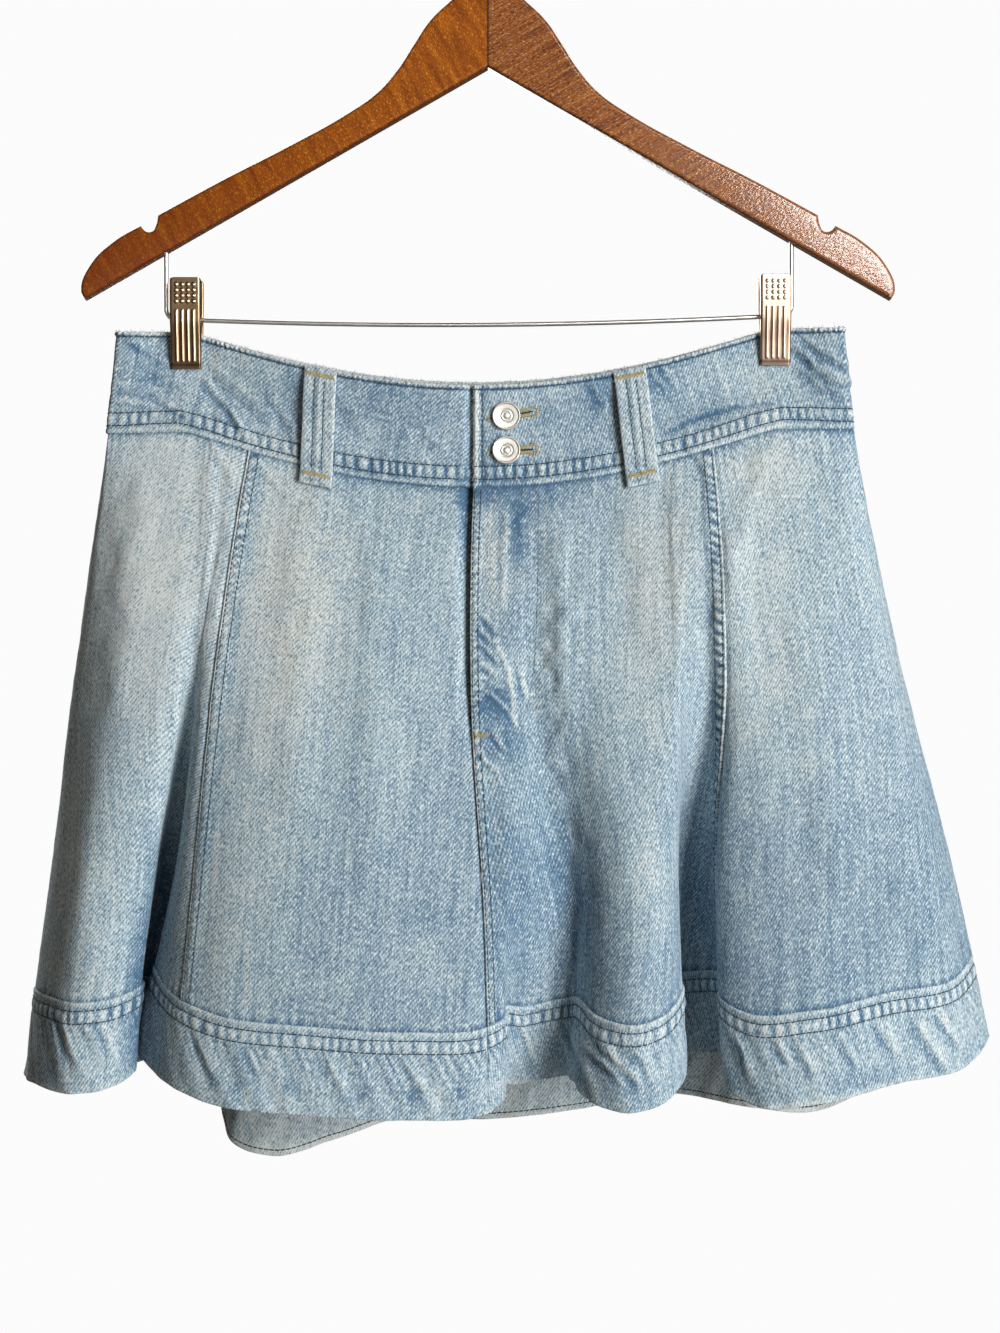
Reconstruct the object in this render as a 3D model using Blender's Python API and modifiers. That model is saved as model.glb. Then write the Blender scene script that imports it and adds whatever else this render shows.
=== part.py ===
"""Flared denim skirt hanging by its waistband from a wooden clip hanger.

Run with: blender --background --python part.py

Frame: metres, +Z up. The origin is where the hanger's hook rests on a rail. The skirt's front faces
-Y and +X is the wearer's left. Lengths in this file are in millimetres, and MM turns them to metres.
"""
import math
from collections import namedtuple

import bmesh
import bpy
from mathutils import Matrix, Vector

MM = 0.001

# ---- driving dimensions, in millimetres ----
SEAM_GAP = 0.3            # between any two pieces that meet
BODY_WALL = 1.3           # one layer of denim
WAISTBAND_WALL = 2.4      # outer band and its self facing
WAISTBAND_HEIGHT = 56.0
WAISTBAND_ROWS = (0.6, 0.8)    # levels of its rows below the one that the clips hold
HEM_BAND_WALL = 2.6       # doubled band
HEM_BAND_SHARE = 0.138    # of the way from waist seam to hem edge
HEM_BAND_ROWS = 3
COLUMN_PITCH = 11.5       # cloth columns, measured along the hem
COLUMN_BEND = 34.0        # degrees that the cloth may turn between two columns
BEND_LEVELS = (1.55, 1.7, 1.862, 2.0)
BEND_SAMPLE = 2.0         # hem length between the places where the turn is read
SLOPE_DOWN = 2.0          # distances over which the slopes of the cloth are read
SLOPE_ACROSS = 1.5
BODY_ROW = 0.108          # rows of a body panel, as a share of the way from waist seam to hem edge
SKIRT_LENGTH = 345.0      # waist seam to hem edge

WAIST_MIDDLE = -4.0       # X half way between the clips
CLIP_SPAN = 321.5         # between the two clips' middles
CLIP_WIDTH = 16.8
WAIST_HALF = 203.0        # side seam to the waist's middle, at the waist seam
WAIST_TAPER = 0.973       # top edge of the contoured band, as a share of its seam
WAIST_LEVEL = -260.0      # top edge at the clips
FRONT_SAG = 31.0          # of the top edge between the clips
BACK_SAG = 27.0
SAG_POWER = 1.15
WAIST_TILT = 0.006        # the wearer's left end hangs a little higher
CLIP_FLAT = 22.0          # depth below the top edge that a clip holds flat
CLIP_MARGIN = 6.0         # and how far to each side of it
TOP_BELLY = 11.0          # how far the top edge stands out mid front and back
BELLY_POWER = 0.9
SEAM_BELLY = 10.0
SEAM_EASE = 6.0           # half depth of the waist seam at the clips
END_LOOP = 4.6            # half depth of the loop beyond each clip
SIDE_ROUND = 20.0         # hem length over which the loop closes at a side seam
UNDERLAP = 32.0           # button stand behind the overlap, from the centre front
LAP_JOG = 6.0             # length over which the band steps in to the underlap
LAP_CLEAR = 0.8           # hem length that the step keeps from the overlap's edge
LAP_PITCH = 3.0           # cloth columns across that step

HANGER_HALF = 222.0       # half the hanger's length
HANGER_THICK = 12.0
HANGER_ROUND = 2.0        # rounding of the wood's edges
HANGER_TOP = -67.0
MITRE_LOW = -117.0        # underside of the hanger at the mitre
HOOK_INNER = 18.0
HOOK_WIRE = 3.8
HOOK_SOCKET = 24.0        # depth of the hook's thread in the wood
HOOK_HOLE_TOP = -55.0     # the hole's cutter ends above the crown
STEM_TOP = -49.0          # where the straight stem starts to bend
HOOK_ANGLES = (215, -22)  # degrees round the hook from the stem's bend to its tip
BAR_WIRE = 2.5
BAR_LEFT = 166.0          # X of the bar's uprights
BAR_RIGHT = -176.0
BAR_LEVEL_LEFT = -252.0   # bar at each clip, and in the middle where it bows down
BAR_LEVEL_RIGHT = -254.0
BAR_LEVEL_MIDDLE = -257.0
BAR_SOCKET = 9.0          # how far the uprights go into the wood
BAR_BEND = 5.5            # radius of the wire at its two corners
CUTTER_REACH = 20.0       # how far a cutter runs past the wood

BUTTON_SIZE = 15.4
BUTTON_X = 10.0
BUTTON_DROPS = (17.5, 36.7)   # below the top edge
BUTTON_REST = 0.45        # rim over the cloth
SHANK_SIZE = 4.0
SHANK_HOLE = (3.0, -4.0)  # the hole's cutter, out of the cloth
# cap from its middle to its rim: radius and height over the cloth
BUTTON_CAP = [(0.0, 2.3), (2.2, 2.3), (2.6, 2.0), (5.0, 2.0), (5.5, 2.6), (6.6, 2.7)]
BUTTON_RIM = (1.9, 1.2)   # heights of the rim's upper and lower edge
BUTTON_UNDERCUT = 0.7
BUTTON_SIDES = 28

LOOP_WIDTH = 18.0
LOOP_SHARES = (-1.0, -0.45, 0.45, 1.0)    # its columns, across half its width

# ---- the fold lines, from the waist seam down to the hem, going round the skirt ----
# X and depth (Y) of each line at the waist seam, at hip and low level and at the hem, and the hem's Z.
Fold = namedtuple("Fold", "name waist hip hip_y low low_y hem hem_y hem_z")
HIP_SHARE = 0.35
LOW_SHARE = 0.70
FOLDS = [
    #    name                 waist      hip    hip_y      low    low_y      hem    hem_y  hem_z
    Fold("side_right",        -206.9,    -224,       3,    -240,       5,    -252,       4,   -667),
    Fold("right_edge",          -203,    -213,     -15,    -229,     -24,    -241,     -26,   -669),
    Fold("right_flare",         -189,    -193,     -27,    -211,     -41,    -219,     -44,   -671),
    Fold("right_shoulder",      -166,    -172,     -30,    -191,     -39,    -201,     -40,   -668),
    Fold("right_lip",           -156,    -163,     -29,    -180,     -29,    -190,     -29,   -661),
    Fold("right_tuck",        -152.2,    -160,   -27.5,    -181,     -12,    -198,     -15,   -658),
    Fold("right_valley",      -148.6,  -158.1,   -26.3,    -178,       1,  -197.5,       0,   -660),
    Fold("right_floor",       -146.5,  -156.2,     -26,    -172,       4,    -191,     7.5,   -661),
    Fold("right_turn",        -144.3,  -154.3,   -26.3,    -166,      -5,    -184,       1,   -656),
    Fold("right_tip",         -140.7,  -153.3,   -27.8,    -168,     -22,  -191.5,     -13,   -650),
    Fold("right_wall",        -136.6,  -151.3,   -30.2,    -165,     -35,    -181,     -28,   -659),
    Fold("princess_right",      -130,    -146,     -33,    -157,     -45,    -166,     -48,   -667),
    Fold("centre_right",        -108,    -120,     -39,    -138,     -54,    -145,     -59,   -674),
    Fold("right_front",          -75,     -78,     -42,     -88,     -60,     -98,     -64,   -679),
    Fold("right_inner",          -42,     -42,     -42,     -44,     -58,     -44,     -62,   -682),
    Fold("centre_front",          -8,      -9,     -39,      -2,     -52,       0,     -50,   -680),
    Fold("fly_fold",             0.1,    -0.6,   -38.5,       7,     -50,       8,     -38,   -675),
    Fold("fly_tuck",             9.7,     9.4,     -37,      12,     -48,       6,     -21,   -669),
    Fold("fly_shelf",           17.8,    17.8,   -35.5,      22,     -42,      14,      -9,   -671),
    Fold("left_floor",          28.5,      29,   -33.5,      36,     -31,      33,      -6,   -668),
    Fold("left_foot",           35.1,    35.8,     -33,      46,     -27,      43,     -12,   -666),
    Fold("left_rise",           44.8,    45.9,   -34.5,      53,     -37,      46,     -29,   -666),
    Fold("left_bulge",          55.3,    56.8,   -36.5,      60,     -48,      54,     -46,   -674),
    Fold("centre_left",           68,      70,     -38,      77,     -56,      74,     -57,   -679),
    Fold("left_front",            93,      96,     -37,      94,     -50,      96,     -48,   -673),
    Fold("left_lip",            98.9,   102.4,   -35.5,     102,     -32,     106,     -32,   -661),
    Fold("left_tuck",          104.1,     108,     -32,     101,     -15,     102,     -16,   -656),
    Fold("left_valley",        108.7,     113,     -29,     105,      -2,     106,      -2,   -656),
    Fold("left_pocket",        112.8,   117.4,   -27.5,     114,       3,     117,       5,   -656),
    Fold("left_turn",          116.7,   121.6,   -28.5,     122,      -5,     128,      -1,   -655),
    Fold("princess_left",      122.5,     128,   -31.5,     124,     -22,     132,     -19,   -657),
    Fold("left_fold",          129.4,     135,     -33,     124,     -34,     128,     -36,   -667),
    Fold("left_inner",           138,     144,     -32,     139,     -44,     144,     -51,   -677),
    Fold("left_flare",           160,     168,     -30,     169,     -47,     172,     -56,   -675),
    Fold("left_outer",           182,     195,     -25,     205,     -38,     217,     -42,   -666),
    Fold("left_edge",            196,     216,     -13,     242,     -20,     259,     -19,   -659),
    Fold("side_left",          198.9,     223,       2,     252,       3,     273,       3,   -647),
    Fold("back_left_edge",       195,     218,      15,     244,      21,     261,      22,   -658),
    Fold("back_left_flare",      166,     187,      31,     209,      44,     224,      47,   -678),
    Fold("back_left_outer",      140,     158,      33,     176,      48,     188,      52,   -695),
    Fold("back_left_dip",        112,     126,      31,     141,      32,     149,      28,   -690),
    Fold("back_left_ridge",       72,      82,      36,      94,      50,     100,      55,   -686),
    Fold("back_left_inner",       34,      42,      35,      48,      42,      52,      44,   -693),
    Fold("centre_back",           -4,      -4,      36,      -4,      42,      -4,      38,   -698),
    Fold("back_right_inner",     -34,     -38,      37,     -44,      51,     -46,      56,   -699),
    Fold("back_right_dip",       -66,     -72,      33,     -84,      32,     -86,      24,   -707),
    Fold("back_right_floor",     -92,     -99,      31,    -114,      24,    -120,      13,   -714),
    Fold("back_right_wall",   -108.3,  -116.4,      32,    -131,      28,    -142,      20,   -707),
    Fold("back_right_lip",    -118.1,  -126.9,    32.5,    -137,      36,    -147,      33,   -696),
    Fold("back_right_ridge",    -129,  -138.6,      33,    -143,      45,    -151,      48,   -684),
    Fold("back_right_round",  -143.8,  -154.4,    32.5,    -163,      51,    -170,      57,   -672),
    Fold("back_right_flare",  -177.9,  -190.8,      30,    -208,      44,    -217,      46,   -663),
    Fold("back_right_edge",   -203.5,    -218,      17,    -233,      24,    -245,      23,   -665),
]

# ---- belt loops: X at the top and at the foot, and the side of the skirt ----
Loop = namedtuple("Loop", "name top foot back")
BELT_LOOPS = [
    Loop("belt_loop_front_right", -90.5, -93.0, False),
    Loop("belt_loop_front_left", 76.5, 84.0, False),
    Loop("belt_loop_back_right", -104.0, -107.0, True),
    Loop("belt_loop_back_centre", -4.0, -4.0, True),
    Loop("belt_loop_back_left", 96.0, 99.0, True),
]
# A loop's length: cloth drop, stand-off of its inner face from the band's middle surface, thickness.
LoopRow = namedtuple("LoopRow", "drop lift thick")
LOOP_ROWS = [
    LoopRow(0.8, 1.5, 2.0),
    LoopRow(6.0, 1.6, 2.2),
    LoopRow(11.0, 3.2, 2.2),
    LoopRow(22.0, 3.8, 2.2),
    LoopRow(38.0, 3.9, 2.2),
    LoopRow(50.0, 3.4, 2.2),
    LoopRow(56.5, 1.8, 2.4),
    LoopRow(61.0, 1.3, 3.2),
    LoopRow(66.0, 1.3, 3.0),
]

# ---- the hanger's outline on the wearer's left, tip to crown; the other arm mirrors it ----
HANGER_OUTLINE = [
    #  X        Z     smooth
    (220.0, -243.5, False),
    (222.0, -239.0, True),
    (217.0, -225.0, True),
    (204.0, -212.0, True),
    (189.5, -203.5, False),
    (186.5, -206.5, True),
    (183.2, -206.5, True),
    (181.0, -203.0, True),
    (180.0, -197.8, False),
    (145.0, -178.8, True),
    (110.0, -160.9, True),
    (76.0, -142.0, True),
    (60.0, -130.6, True),
    (49.0, -118.0, True),
    (40.0, -104.0, True),
    (31.5, -91.5, True),
    (19.5, -80.0, True),
    (9.0, -70.5, True),
]


def clear_scene():
    for leftover in list(bpy.data.objects):
        bpy.data.objects.remove(leftover, do_unlink=True)


def new_collection(name):
    collection = bpy.data.collections.new(name)
    bpy.context.scene.collection.children.link(collection)
    return collection


def put_in(obj, collection):
    for owner in list(obj.users_collection):
        owner.objects.unlink(obj)
    collection.objects.link(obj)


def principled(name, colour, roughness, metallic=0.0):
    material = bpy.data.materials.new(name)
    material.use_nodes = True
    shader = material.node_tree.nodes["Principled BSDF"]
    shader.inputs["Base Color"].default_value = (*colour, 1.0)
    shader.inputs["Roughness"].default_value = roughness
    shader.inputs["Metallic"].default_value = metallic
    return material


def finish_object(obj, collection, material, smooth_angle=40):
    put_in(obj, collection)
    obj.data.materials.clear()
    obj.data.materials.append(material)
    if obj.type == "MESH":
        obj.data.shade_smooth()
        obj.data.set_sharp_from_angle(angle=math.radians(smooth_angle))
    return obj


# ---- splines ----

def parabola_slope(before, here, after, step_before, step_after):
    """Slope at the middle of three unevenly spaced values."""
    run_in = (here - before) / step_before
    run_out = (after - here) / step_after
    return (run_in * step_after + run_out * step_before) / (step_before + step_after)


def hermite(start, end, slope_start, slope_end, step, share):
    square = share * share
    cube = square * share
    return (
        start * (2 * cube - 3 * square + 1)
        + slope_start * step * (cube - 2 * square + share)
        + end * (3 * square - 2 * cube)
        + slope_end * step * (cube - square)
    )


class Ring:
    """Closed spline of one value through the fold lines."""

    def __init__(self, knots, girth, values):
        self.knots = knots
        self.girth = girth
        self.values = values

    def knot(self, index):
        turns, place = divmod(index, len(self.knots))
        return self.knots[place] + turns * self.girth

    def value(self, index):
        return self.values[index % len(self.values)]

    def slope(self, index):
        step_before = self.knot(index) - self.knot(index - 1)
        step_after = self.knot(index + 1) - self.knot(index)
        return parabola_slope(
            self.value(index - 1), self.value(index), self.value(index + 1), step_before, step_after
        )

    def at(self, place):
        place %= self.girth
        index = max(i for i, knot in enumerate(self.knots) if knot <= place + 1e-9)
        step = self.knot(index + 1) - self.knot(index)
        share = (place - self.knot(index)) / step
        return hermite(
            self.value(index), self.value(index + 1), self.slope(index), self.slope(index + 1), step, share
        )


def along_drop(levels, values, share):
    """Open spline down the cloth, through the values at the given levels."""
    last = len(levels) - 1
    index = min(max(i for i, level in enumerate(levels) if level <= share + 1e-9), last - 1)

    def slope(i):
        middle = min(max(i, 1), last - 1)
        step_before = levels[middle] - levels[middle - 1]
        step_after = levels[middle + 1] - levels[middle]
        bend = parabola_slope(values[middle - 1], values[middle], values[middle + 1], step_before, step_after)
        if i == 0:
            return 2 * (values[1] - values[0]) / step_before - bend
        if i == last:
            return 2 * (values[last] - values[last - 1]) / step_after - bend
        return bend

    step = levels[index + 1] - levels[index]
    return hermite(
        values[index], values[index + 1], slope(index), slope(index + 1), step, (share - levels[index]) / step
    )


def smooth_step(low, high, value):
    share = min(max((value - low) / (high - low), 0.0), 1.0)
    return share * share * (3 - 2 * share)


# ---- the skirt's surface ----

class Skirt:
    """Middle surface of the cloth. place runs round the skirt in millimetres of hem, from the wearer's
    right side seam across the front; level is 0 at the top edge, 1 at the waist seam and 2 at the hem."""

    LEVELS = (0.0, HIP_SHARE, LOW_SHARE, 1.0)

    def __init__(self):
        hem = [Vector((fold.hem, fold.hem_y)) for fold in FOLDS]
        knots = [0.0]
        for here, after in zip(hem, hem[1:] + hem[:1]):
            knots.append(knots[-1] + (after - here).length)
        self.girth = knots.pop()
        self.lines = {fold.name: knot for fold, knot in zip(FOLDS, knots)}
        self.rings = {
            column: Ring(knots, self.girth, [getattr(fold, column) for fold in FOLDS])
            for column in Fold._fields[1:]
        }

    def read(self, column, place):
        return self.rings[column].at(place)

    def is_back(self, place):
        return place % self.girth > self.lines["side_left"]

    def waist_x(self, place, level):
        taper = WAIST_TAPER + (1 - WAIST_TAPER) * level
        return WAIST_MIDDLE + (self.read("waist", place) - WAIST_MIDDLE) * taper

    def top_z(self, x, back):
        reach = (x - WAIST_MIDDLE) / (CLIP_SPAN / 2)
        sag = BACK_SAG if back else FRONT_SAG
        return WAIST_LEVEL + WAIST_TILT * x - sag * max(0.0, 1 - reach * reach) ** SAG_POWER

    def side_round(self, place):
        """0 at a side seam, rising to 1 where its loop is fully open."""
        side_left = self.lines["side_left"]
        place %= self.girth
        out = min(place, abs(place - side_left), self.girth - place)
        return math.sin(math.pi / 2 * min(1.0, out / SIDE_ROUND))

    def waist_depth(self, x, level):
        """Half depth of the flattened waist: pinched at the clips, a small loop beyond each."""
        out = abs(x - WAIST_MIDDLE)
        end = WAIST_HALF * (WAIST_TAPER + (1 - WAIST_TAPER) * level)
        reach = out / (CLIP_SPAN / 2 - CLIP_WIDTH / 2 - CLIP_MARGIN)
        pinch = (SEAM_GAP + WAISTBAND_WALL) / 2
        belly = max(0.0, 1 - reach * reach) ** BELLY_POWER
        seam_reach = out / WAIST_HALF
        loop = (END_LOOP - pinch) * smooth_step(
            CLIP_SPAN / 2 + CLIP_WIDTH / 2 + CLIP_MARGIN, end - END_LOOP, out
        )
        top = pinch + TOP_BELLY * belly + loop
        seam = SEAM_EASE + SEAM_BELLY * (1 - seam_reach * seam_reach)
        ease = smooth_step(CLIP_FLAT / WAISTBAND_HEIGHT, 1.0, level)
        return top + (seam - top) * ease

    def waistband_point(self, place, level):
        x = self.waist_x(place, level)
        back = self.is_back(place)
        y = self.waist_depth(x, level) * self.side_round(place) * (1 if back else -1)
        return Vector((x, y, self.top_z(x, back) - WAISTBAND_HEIGHT * level))

    def point(self, place, level):
        if level <= 1:
            return self.waistband_point(place, level)
        share = level - 1
        top = self.waistband_point(place, 1.0)
        hip = self.read("hip", place), self.read("hip_y", place)
        low = self.read("low", place), self.read("low_y", place)
        hem = self.read("hem", place), self.read("hem_y", place)
        x = along_drop(self.LEVELS, (top.x, hip[0], low[0], hem[0]), share)
        y = along_drop(self.LEVELS, (top.y, hip[1], low[1], hem[1]), share)
        return Vector((x, y, top.z + (self.read("hem_z", place) - top.z) * share))

    def level_step(self, level, drop):
        """A drop in millimetres, as a step of level just above or below this level."""
        in_band = level < 1 or (level == 1 and drop < 0)
        return drop / (WAISTBAND_HEIGHT if in_band else SKIRT_LENGTH)

    def down(self, place, level):
        above = self.point(place, max(0.0, level + self.level_step(level, -SLOPE_DOWN)))
        below = self.point(place, min(2.0, level + self.level_step(level, SLOPE_DOWN)))
        return (below - above).normalized()

    def across(self, place, level):
        return (self.point(place + SLOPE_ACROSS, level) - self.point(place - SLOPE_ACROSS, level)).normalized()

    def normal(self, place, level):
        return self.down(place, level).cross(self.across(place, level)).normalized()

    def place_at(self, x, level, back):
        """Where round the skirt the waistband stands at this X."""
        low = self.lines["side_left"] if back else 0.0
        high = self.girth if back else self.lines["side_left"]
        for _ in range(40):
            middle = (low + high) / 2
            if (self.waist_x(middle, level) < x) != back:
                low = middle
            else:
                high = middle
        return (low + high) / 2


SKIRT = Skirt()


# ---- cloth pieces ----

def wall_object(name, outer, inner):
    """Closed wall between two grids of points, rows running down and columns round."""
    mesh = bpy.data.meshes.new(name)
    work = bmesh.new()
    rows, columns = len(outer), len(outer[0])
    skins = [[[work.verts.new(point * MM) for point in row] for row in grid] for grid in (outer, inner)]
    front, back = skins
    for r in range(rows - 1):
        for c in range(columns - 1):
            work.faces.new((front[r][c], front[r + 1][c], front[r + 1][c + 1], front[r][c + 1]))
            work.faces.new((back[r][c], back[r][c + 1], back[r + 1][c + 1], back[r + 1][c]))
    last_row, last_column = rows - 1, columns - 1
    rims = []
    for c in range(columns - 1):
        rims.append((front[0][c], front[0][c + 1], back[0][c + 1], back[0][c]))
        rims.append((front[last_row][c], back[last_row][c], back[last_row][c + 1], front[last_row][c + 1]))
    for r in range(rows - 1):
        rims.append((front[r][0], back[r][0], back[r + 1][0], front[r + 1][0]))
        rims.append(
            (front[r][last_column], front[r + 1][last_column], back[r + 1][last_column], back[r][last_column])
        )
    for start, second, far, last in rims:
        # Both pieces at a seam fold their rims along the same diagonal, so the gap between them is even.
        work.faces.new((start, second, far))
        work.faces.new((start, far, last))
    work.to_mesh(mesh)
    work.free()
    return bpy.data.objects.new(name, mesh)


def spread(start, end, pitch):
    count = max(1, round(abs(end - start) / pitch))
    return [start + (end - start) * i / count for i in range(count + 1)]


def bend_between(low, high):
    """Most degrees that the cloth turns between two places, at any of a few levels."""
    most = 0.0
    for level in BEND_LEVELS:
        headings = [SKIRT.across(place, level) for place in spread(low, high, BEND_SAMPLE)]
        turns = [math.degrees(here.angle(after)) for here, after in zip(headings, headings[1:])]
        most = max(most, sum(turns))
    return most


def cloth_columns():
    """Every fold line, and evenly between them: closer together where the cloth bends more."""
    lines = [*SKIRT.lines.values(), SKIRT.girth]
    places = []
    for low, high in zip(lines, lines[1:]):
        count = max(round((high - low) / COLUMN_PITCH), round(bend_between(low, high) / COLUMN_BEND), 1)
        places += spread(low, high, (high - low) / count)[:-1]
    return places


COLUMNS = cloth_columns()


def shared_columns(start, end):
    """Cloth columns between two places. All pieces use the same ones, so that they meet facet to facet."""
    inside = [place for place in COLUMNS if start + 2 < place < end - 2]
    return [start] + inside + [end]


def cloth_piece(name, places, levels, wall, set_in=None):
    """One sewn piece: the skirt's surface thickened to a wall, trimmed by half a seam gap all round.
    set_in gives how far the middle of the wall steps inwards at a place."""
    trim = SEAM_GAP / 2
    outer, inner = [], []
    for r, level in enumerate(levels):
        outer_row, inner_row = [], []
        for c, place in enumerate(places):
            point = SKIRT.point(place, level)
            normal = SKIRT.normal(place, level)
            if c in (0, len(places) - 1):
                point += SKIRT.across(place, level) * (trim if c == 0 else -trim)
            if r in (0, len(levels) - 1):
                point += SKIRT.down(place, level) * (trim if r == 0 else -trim)
            if set_in:
                point -= normal * set_in(place)
            outer_row.append(point + normal * wall / 2)
            inner_row.append(point - normal * wall / 2)
        outer.append(outer_row)
        inner.append(inner_row)
    return wall_object(name, outer, inner)


def make_body_panels(collection, denim):
    """Four gored front panels and two back panels, from the waist seam to the hem band."""
    lines = SKIRT.lines
    panels = [
        ("side_front_right", lines["side_right"], lines["princess_right"]),
        ("front_right", lines["princess_right"], lines["centre_front"]),
        ("front_left", lines["centre_front"], lines["princess_left"]),
        ("side_front_left", lines["princess_left"], lines["side_left"]),
        ("back_left", lines["side_left"], lines["centre_back"]),
        ("back_right", lines["centre_back"], SKIRT.girth),
    ]
    levels = spread(1.0, 2.0 - HEM_BAND_SHARE, BODY_ROW)
    for name, start, end in panels:
        piece = cloth_piece(name, shared_columns(start, end), levels, BODY_WALL)
        finish_object(piece, collection, denim)


def make_hem_bands(collection, denim):
    """Doubled band sewn on round the hem, joined at the centre front and the side seams."""
    lines = SKIRT.lines
    bands = [
        ("hem_band_front_right", lines["side_right"], lines["centre_front"]),
        ("hem_band_front_left", lines["centre_front"], lines["side_left"]),
        ("hem_band_back", lines["side_left"], SKIRT.girth),
    ]
    levels = spread(2.0 - HEM_BAND_SHARE, 2.0, HEM_BAND_SHARE / HEM_BAND_ROWS)
    for name, start, end in bands:
        piece = cloth_piece(name, shared_columns(start, end), levels, HEM_BAND_WALL)
        finish_object(piece, collection, denim)


def make_waistband(collection, denim):
    """Contoured band in three pieces; the wearer's left front laps over the right one's button stand."""
    lines = SKIRT.lines
    levels = [0.0, CLIP_FLAT / WAISTBAND_HEIGHT, *WAISTBAND_ROWS, 1.0]
    lap_edge = lines["centre_front"]
    stand_end = SKIRT.place_at(SKIRT.waist_x(lap_edge, 0.5) + UNDERLAP, 0.5, False)
    jog_start = SKIRT.place_at(SKIRT.waist_x(lap_edge, 0.5) - LAP_JOG, 0.5, False)
    jog_end = lap_edge - LAP_CLEAR

    def behind_lap(place):
        return (WAISTBAND_WALL + SEAM_GAP) * smooth_step(jog_start, jog_end, place)

    right_places = shared_columns(lines["side_right"], jog_start)
    right_places += spread(jog_start, jog_end, LAP_PITCH)[1:]
    right_places += shared_columns(jog_end, stand_end)[1:]
    right = cloth_piece("waistband_front_right", right_places, levels, WAISTBAND_WALL, behind_lap)
    left_places = shared_columns(lap_edge, lines["side_left"])
    left = cloth_piece("waistband_front_left", left_places, levels, WAISTBAND_WALL)
    back_places = shared_columns(lines["side_left"], SKIRT.girth)
    back = cloth_piece("waistband_back", back_places, levels, WAISTBAND_WALL)
    for piece in (right, left, back):
        finish_object(piece, collection, denim)
    return left


def belt_loop(row):
    """Strap sewn down at both ends and standing off the band between them."""
    outer, inner = [], []
    foot_drop = LOOP_ROWS[-1].drop
    for cut in LOOP_ROWS:
        level = cut.drop / WAISTBAND_HEIGHT
        if level > 1:
            level = 1 + (cut.drop - WAISTBAND_HEIGHT) / SKIRT_LENGTH
        x = row.top + (row.foot - row.top) * cut.drop / foot_drop
        place = SKIRT.place_at(x, min(level, 1.0), row.back)
        middle = SKIRT.point(place, level)
        normal = SKIRT.normal(place, level)
        across = SKIRT.across(place, level)
        outer_row, inner_row = [], []
        for share in LOOP_SHARES:
            edge = middle + across * (LOOP_WIDTH / 2 * share)
            outer_row.append(edge + normal * (cut.lift + cut.thick))
            inner_row.append(edge + normal * cut.lift)
        outer.append(outer_row)
        inner.append(inner_row)
    return wall_object(row.name, outer, inner)


def make_belt_loops(collection, denim):
    for row in BELT_LOOPS:
        finish_object(belt_loop(row), collection, denim)


# ---- cutters ----

def cylinder(name, collection, start, end, size, sides=24):
    """Round bar between two points."""
    axis = end - start
    mesh = bpy.data.meshes.new(name)
    work = bmesh.new()
    bmesh.ops.create_cone(
        work, cap_ends=True, segments=sides, radius1=size / 2 * MM, radius2=size / 2 * MM, depth=axis.length * MM
    )
    work.to_mesh(mesh)
    work.free()
    obj = bpy.data.objects.new(name, mesh)
    collection.objects.link(obj)
    obj.matrix_world = (
        Matrix.Translation((start + end) / 2 * MM) @ axis.to_track_quat("Z", "Y").to_matrix().to_4x4()
    )
    return obj


def box(name, collection, low, high):
    """Rectangular block between two corners."""
    mesh = bpy.data.meshes.new(name)
    work = bmesh.new()
    bmesh.ops.create_cube(work, size=1.0)
    size = high - low
    bmesh.ops.scale(work, vec=size * MM, verts=work.verts[:])
    work.to_mesh(mesh)
    work.free()
    obj = bpy.data.objects.new(name, mesh)
    collection.objects.link(obj)
    obj.location = (low + high) / 2 * MM
    return obj


def as_cutter(obj):
    obj.hide_render = True
    obj.display_type = "WIRE"
    return obj


def cut(obj, cutter, operation="DIFFERENCE"):
    modifier = obj.modifiers.new(cutter.name, "BOOLEAN")
    modifier.operation = operation
    modifier.solver = "EXACT"
    modifier.object = as_cutter(cutter)


# ---- buttons ----

def button_frame(drop):
    """Place of a button on the overlap, with +Z out of the cloth."""
    level = drop / WAISTBAND_HEIGHT
    place = SKIRT.place_at(BUTTON_X, level, False)
    normal = SKIRT.normal(place, level)
    seat = SKIRT.point(place, level) + normal * (WAISTBAND_WALL / 2)
    return seat, normal


def turned_object(name, profile, sides):
    """Solid of revolution about +Z from (radius, height) pairs, run from the top down the outside."""
    mesh = bpy.data.meshes.new(name)
    points = [(radius * MM, 0.0, height * MM) for radius, height in profile]
    mesh.from_pydata(points, [(i, i + 1) for i in range(len(points) - 1)], [])
    obj = bpy.data.objects.new(name, mesh)
    screw = obj.modifiers.new("turn", "SCREW")
    screw.axis = "Z"
    screw.angle = math.tau
    screw.steps = sides
    screw.render_steps = sides
    screw.use_merge_vertices = True
    screw.merge_threshold = 0.00001
    return obj


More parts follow.
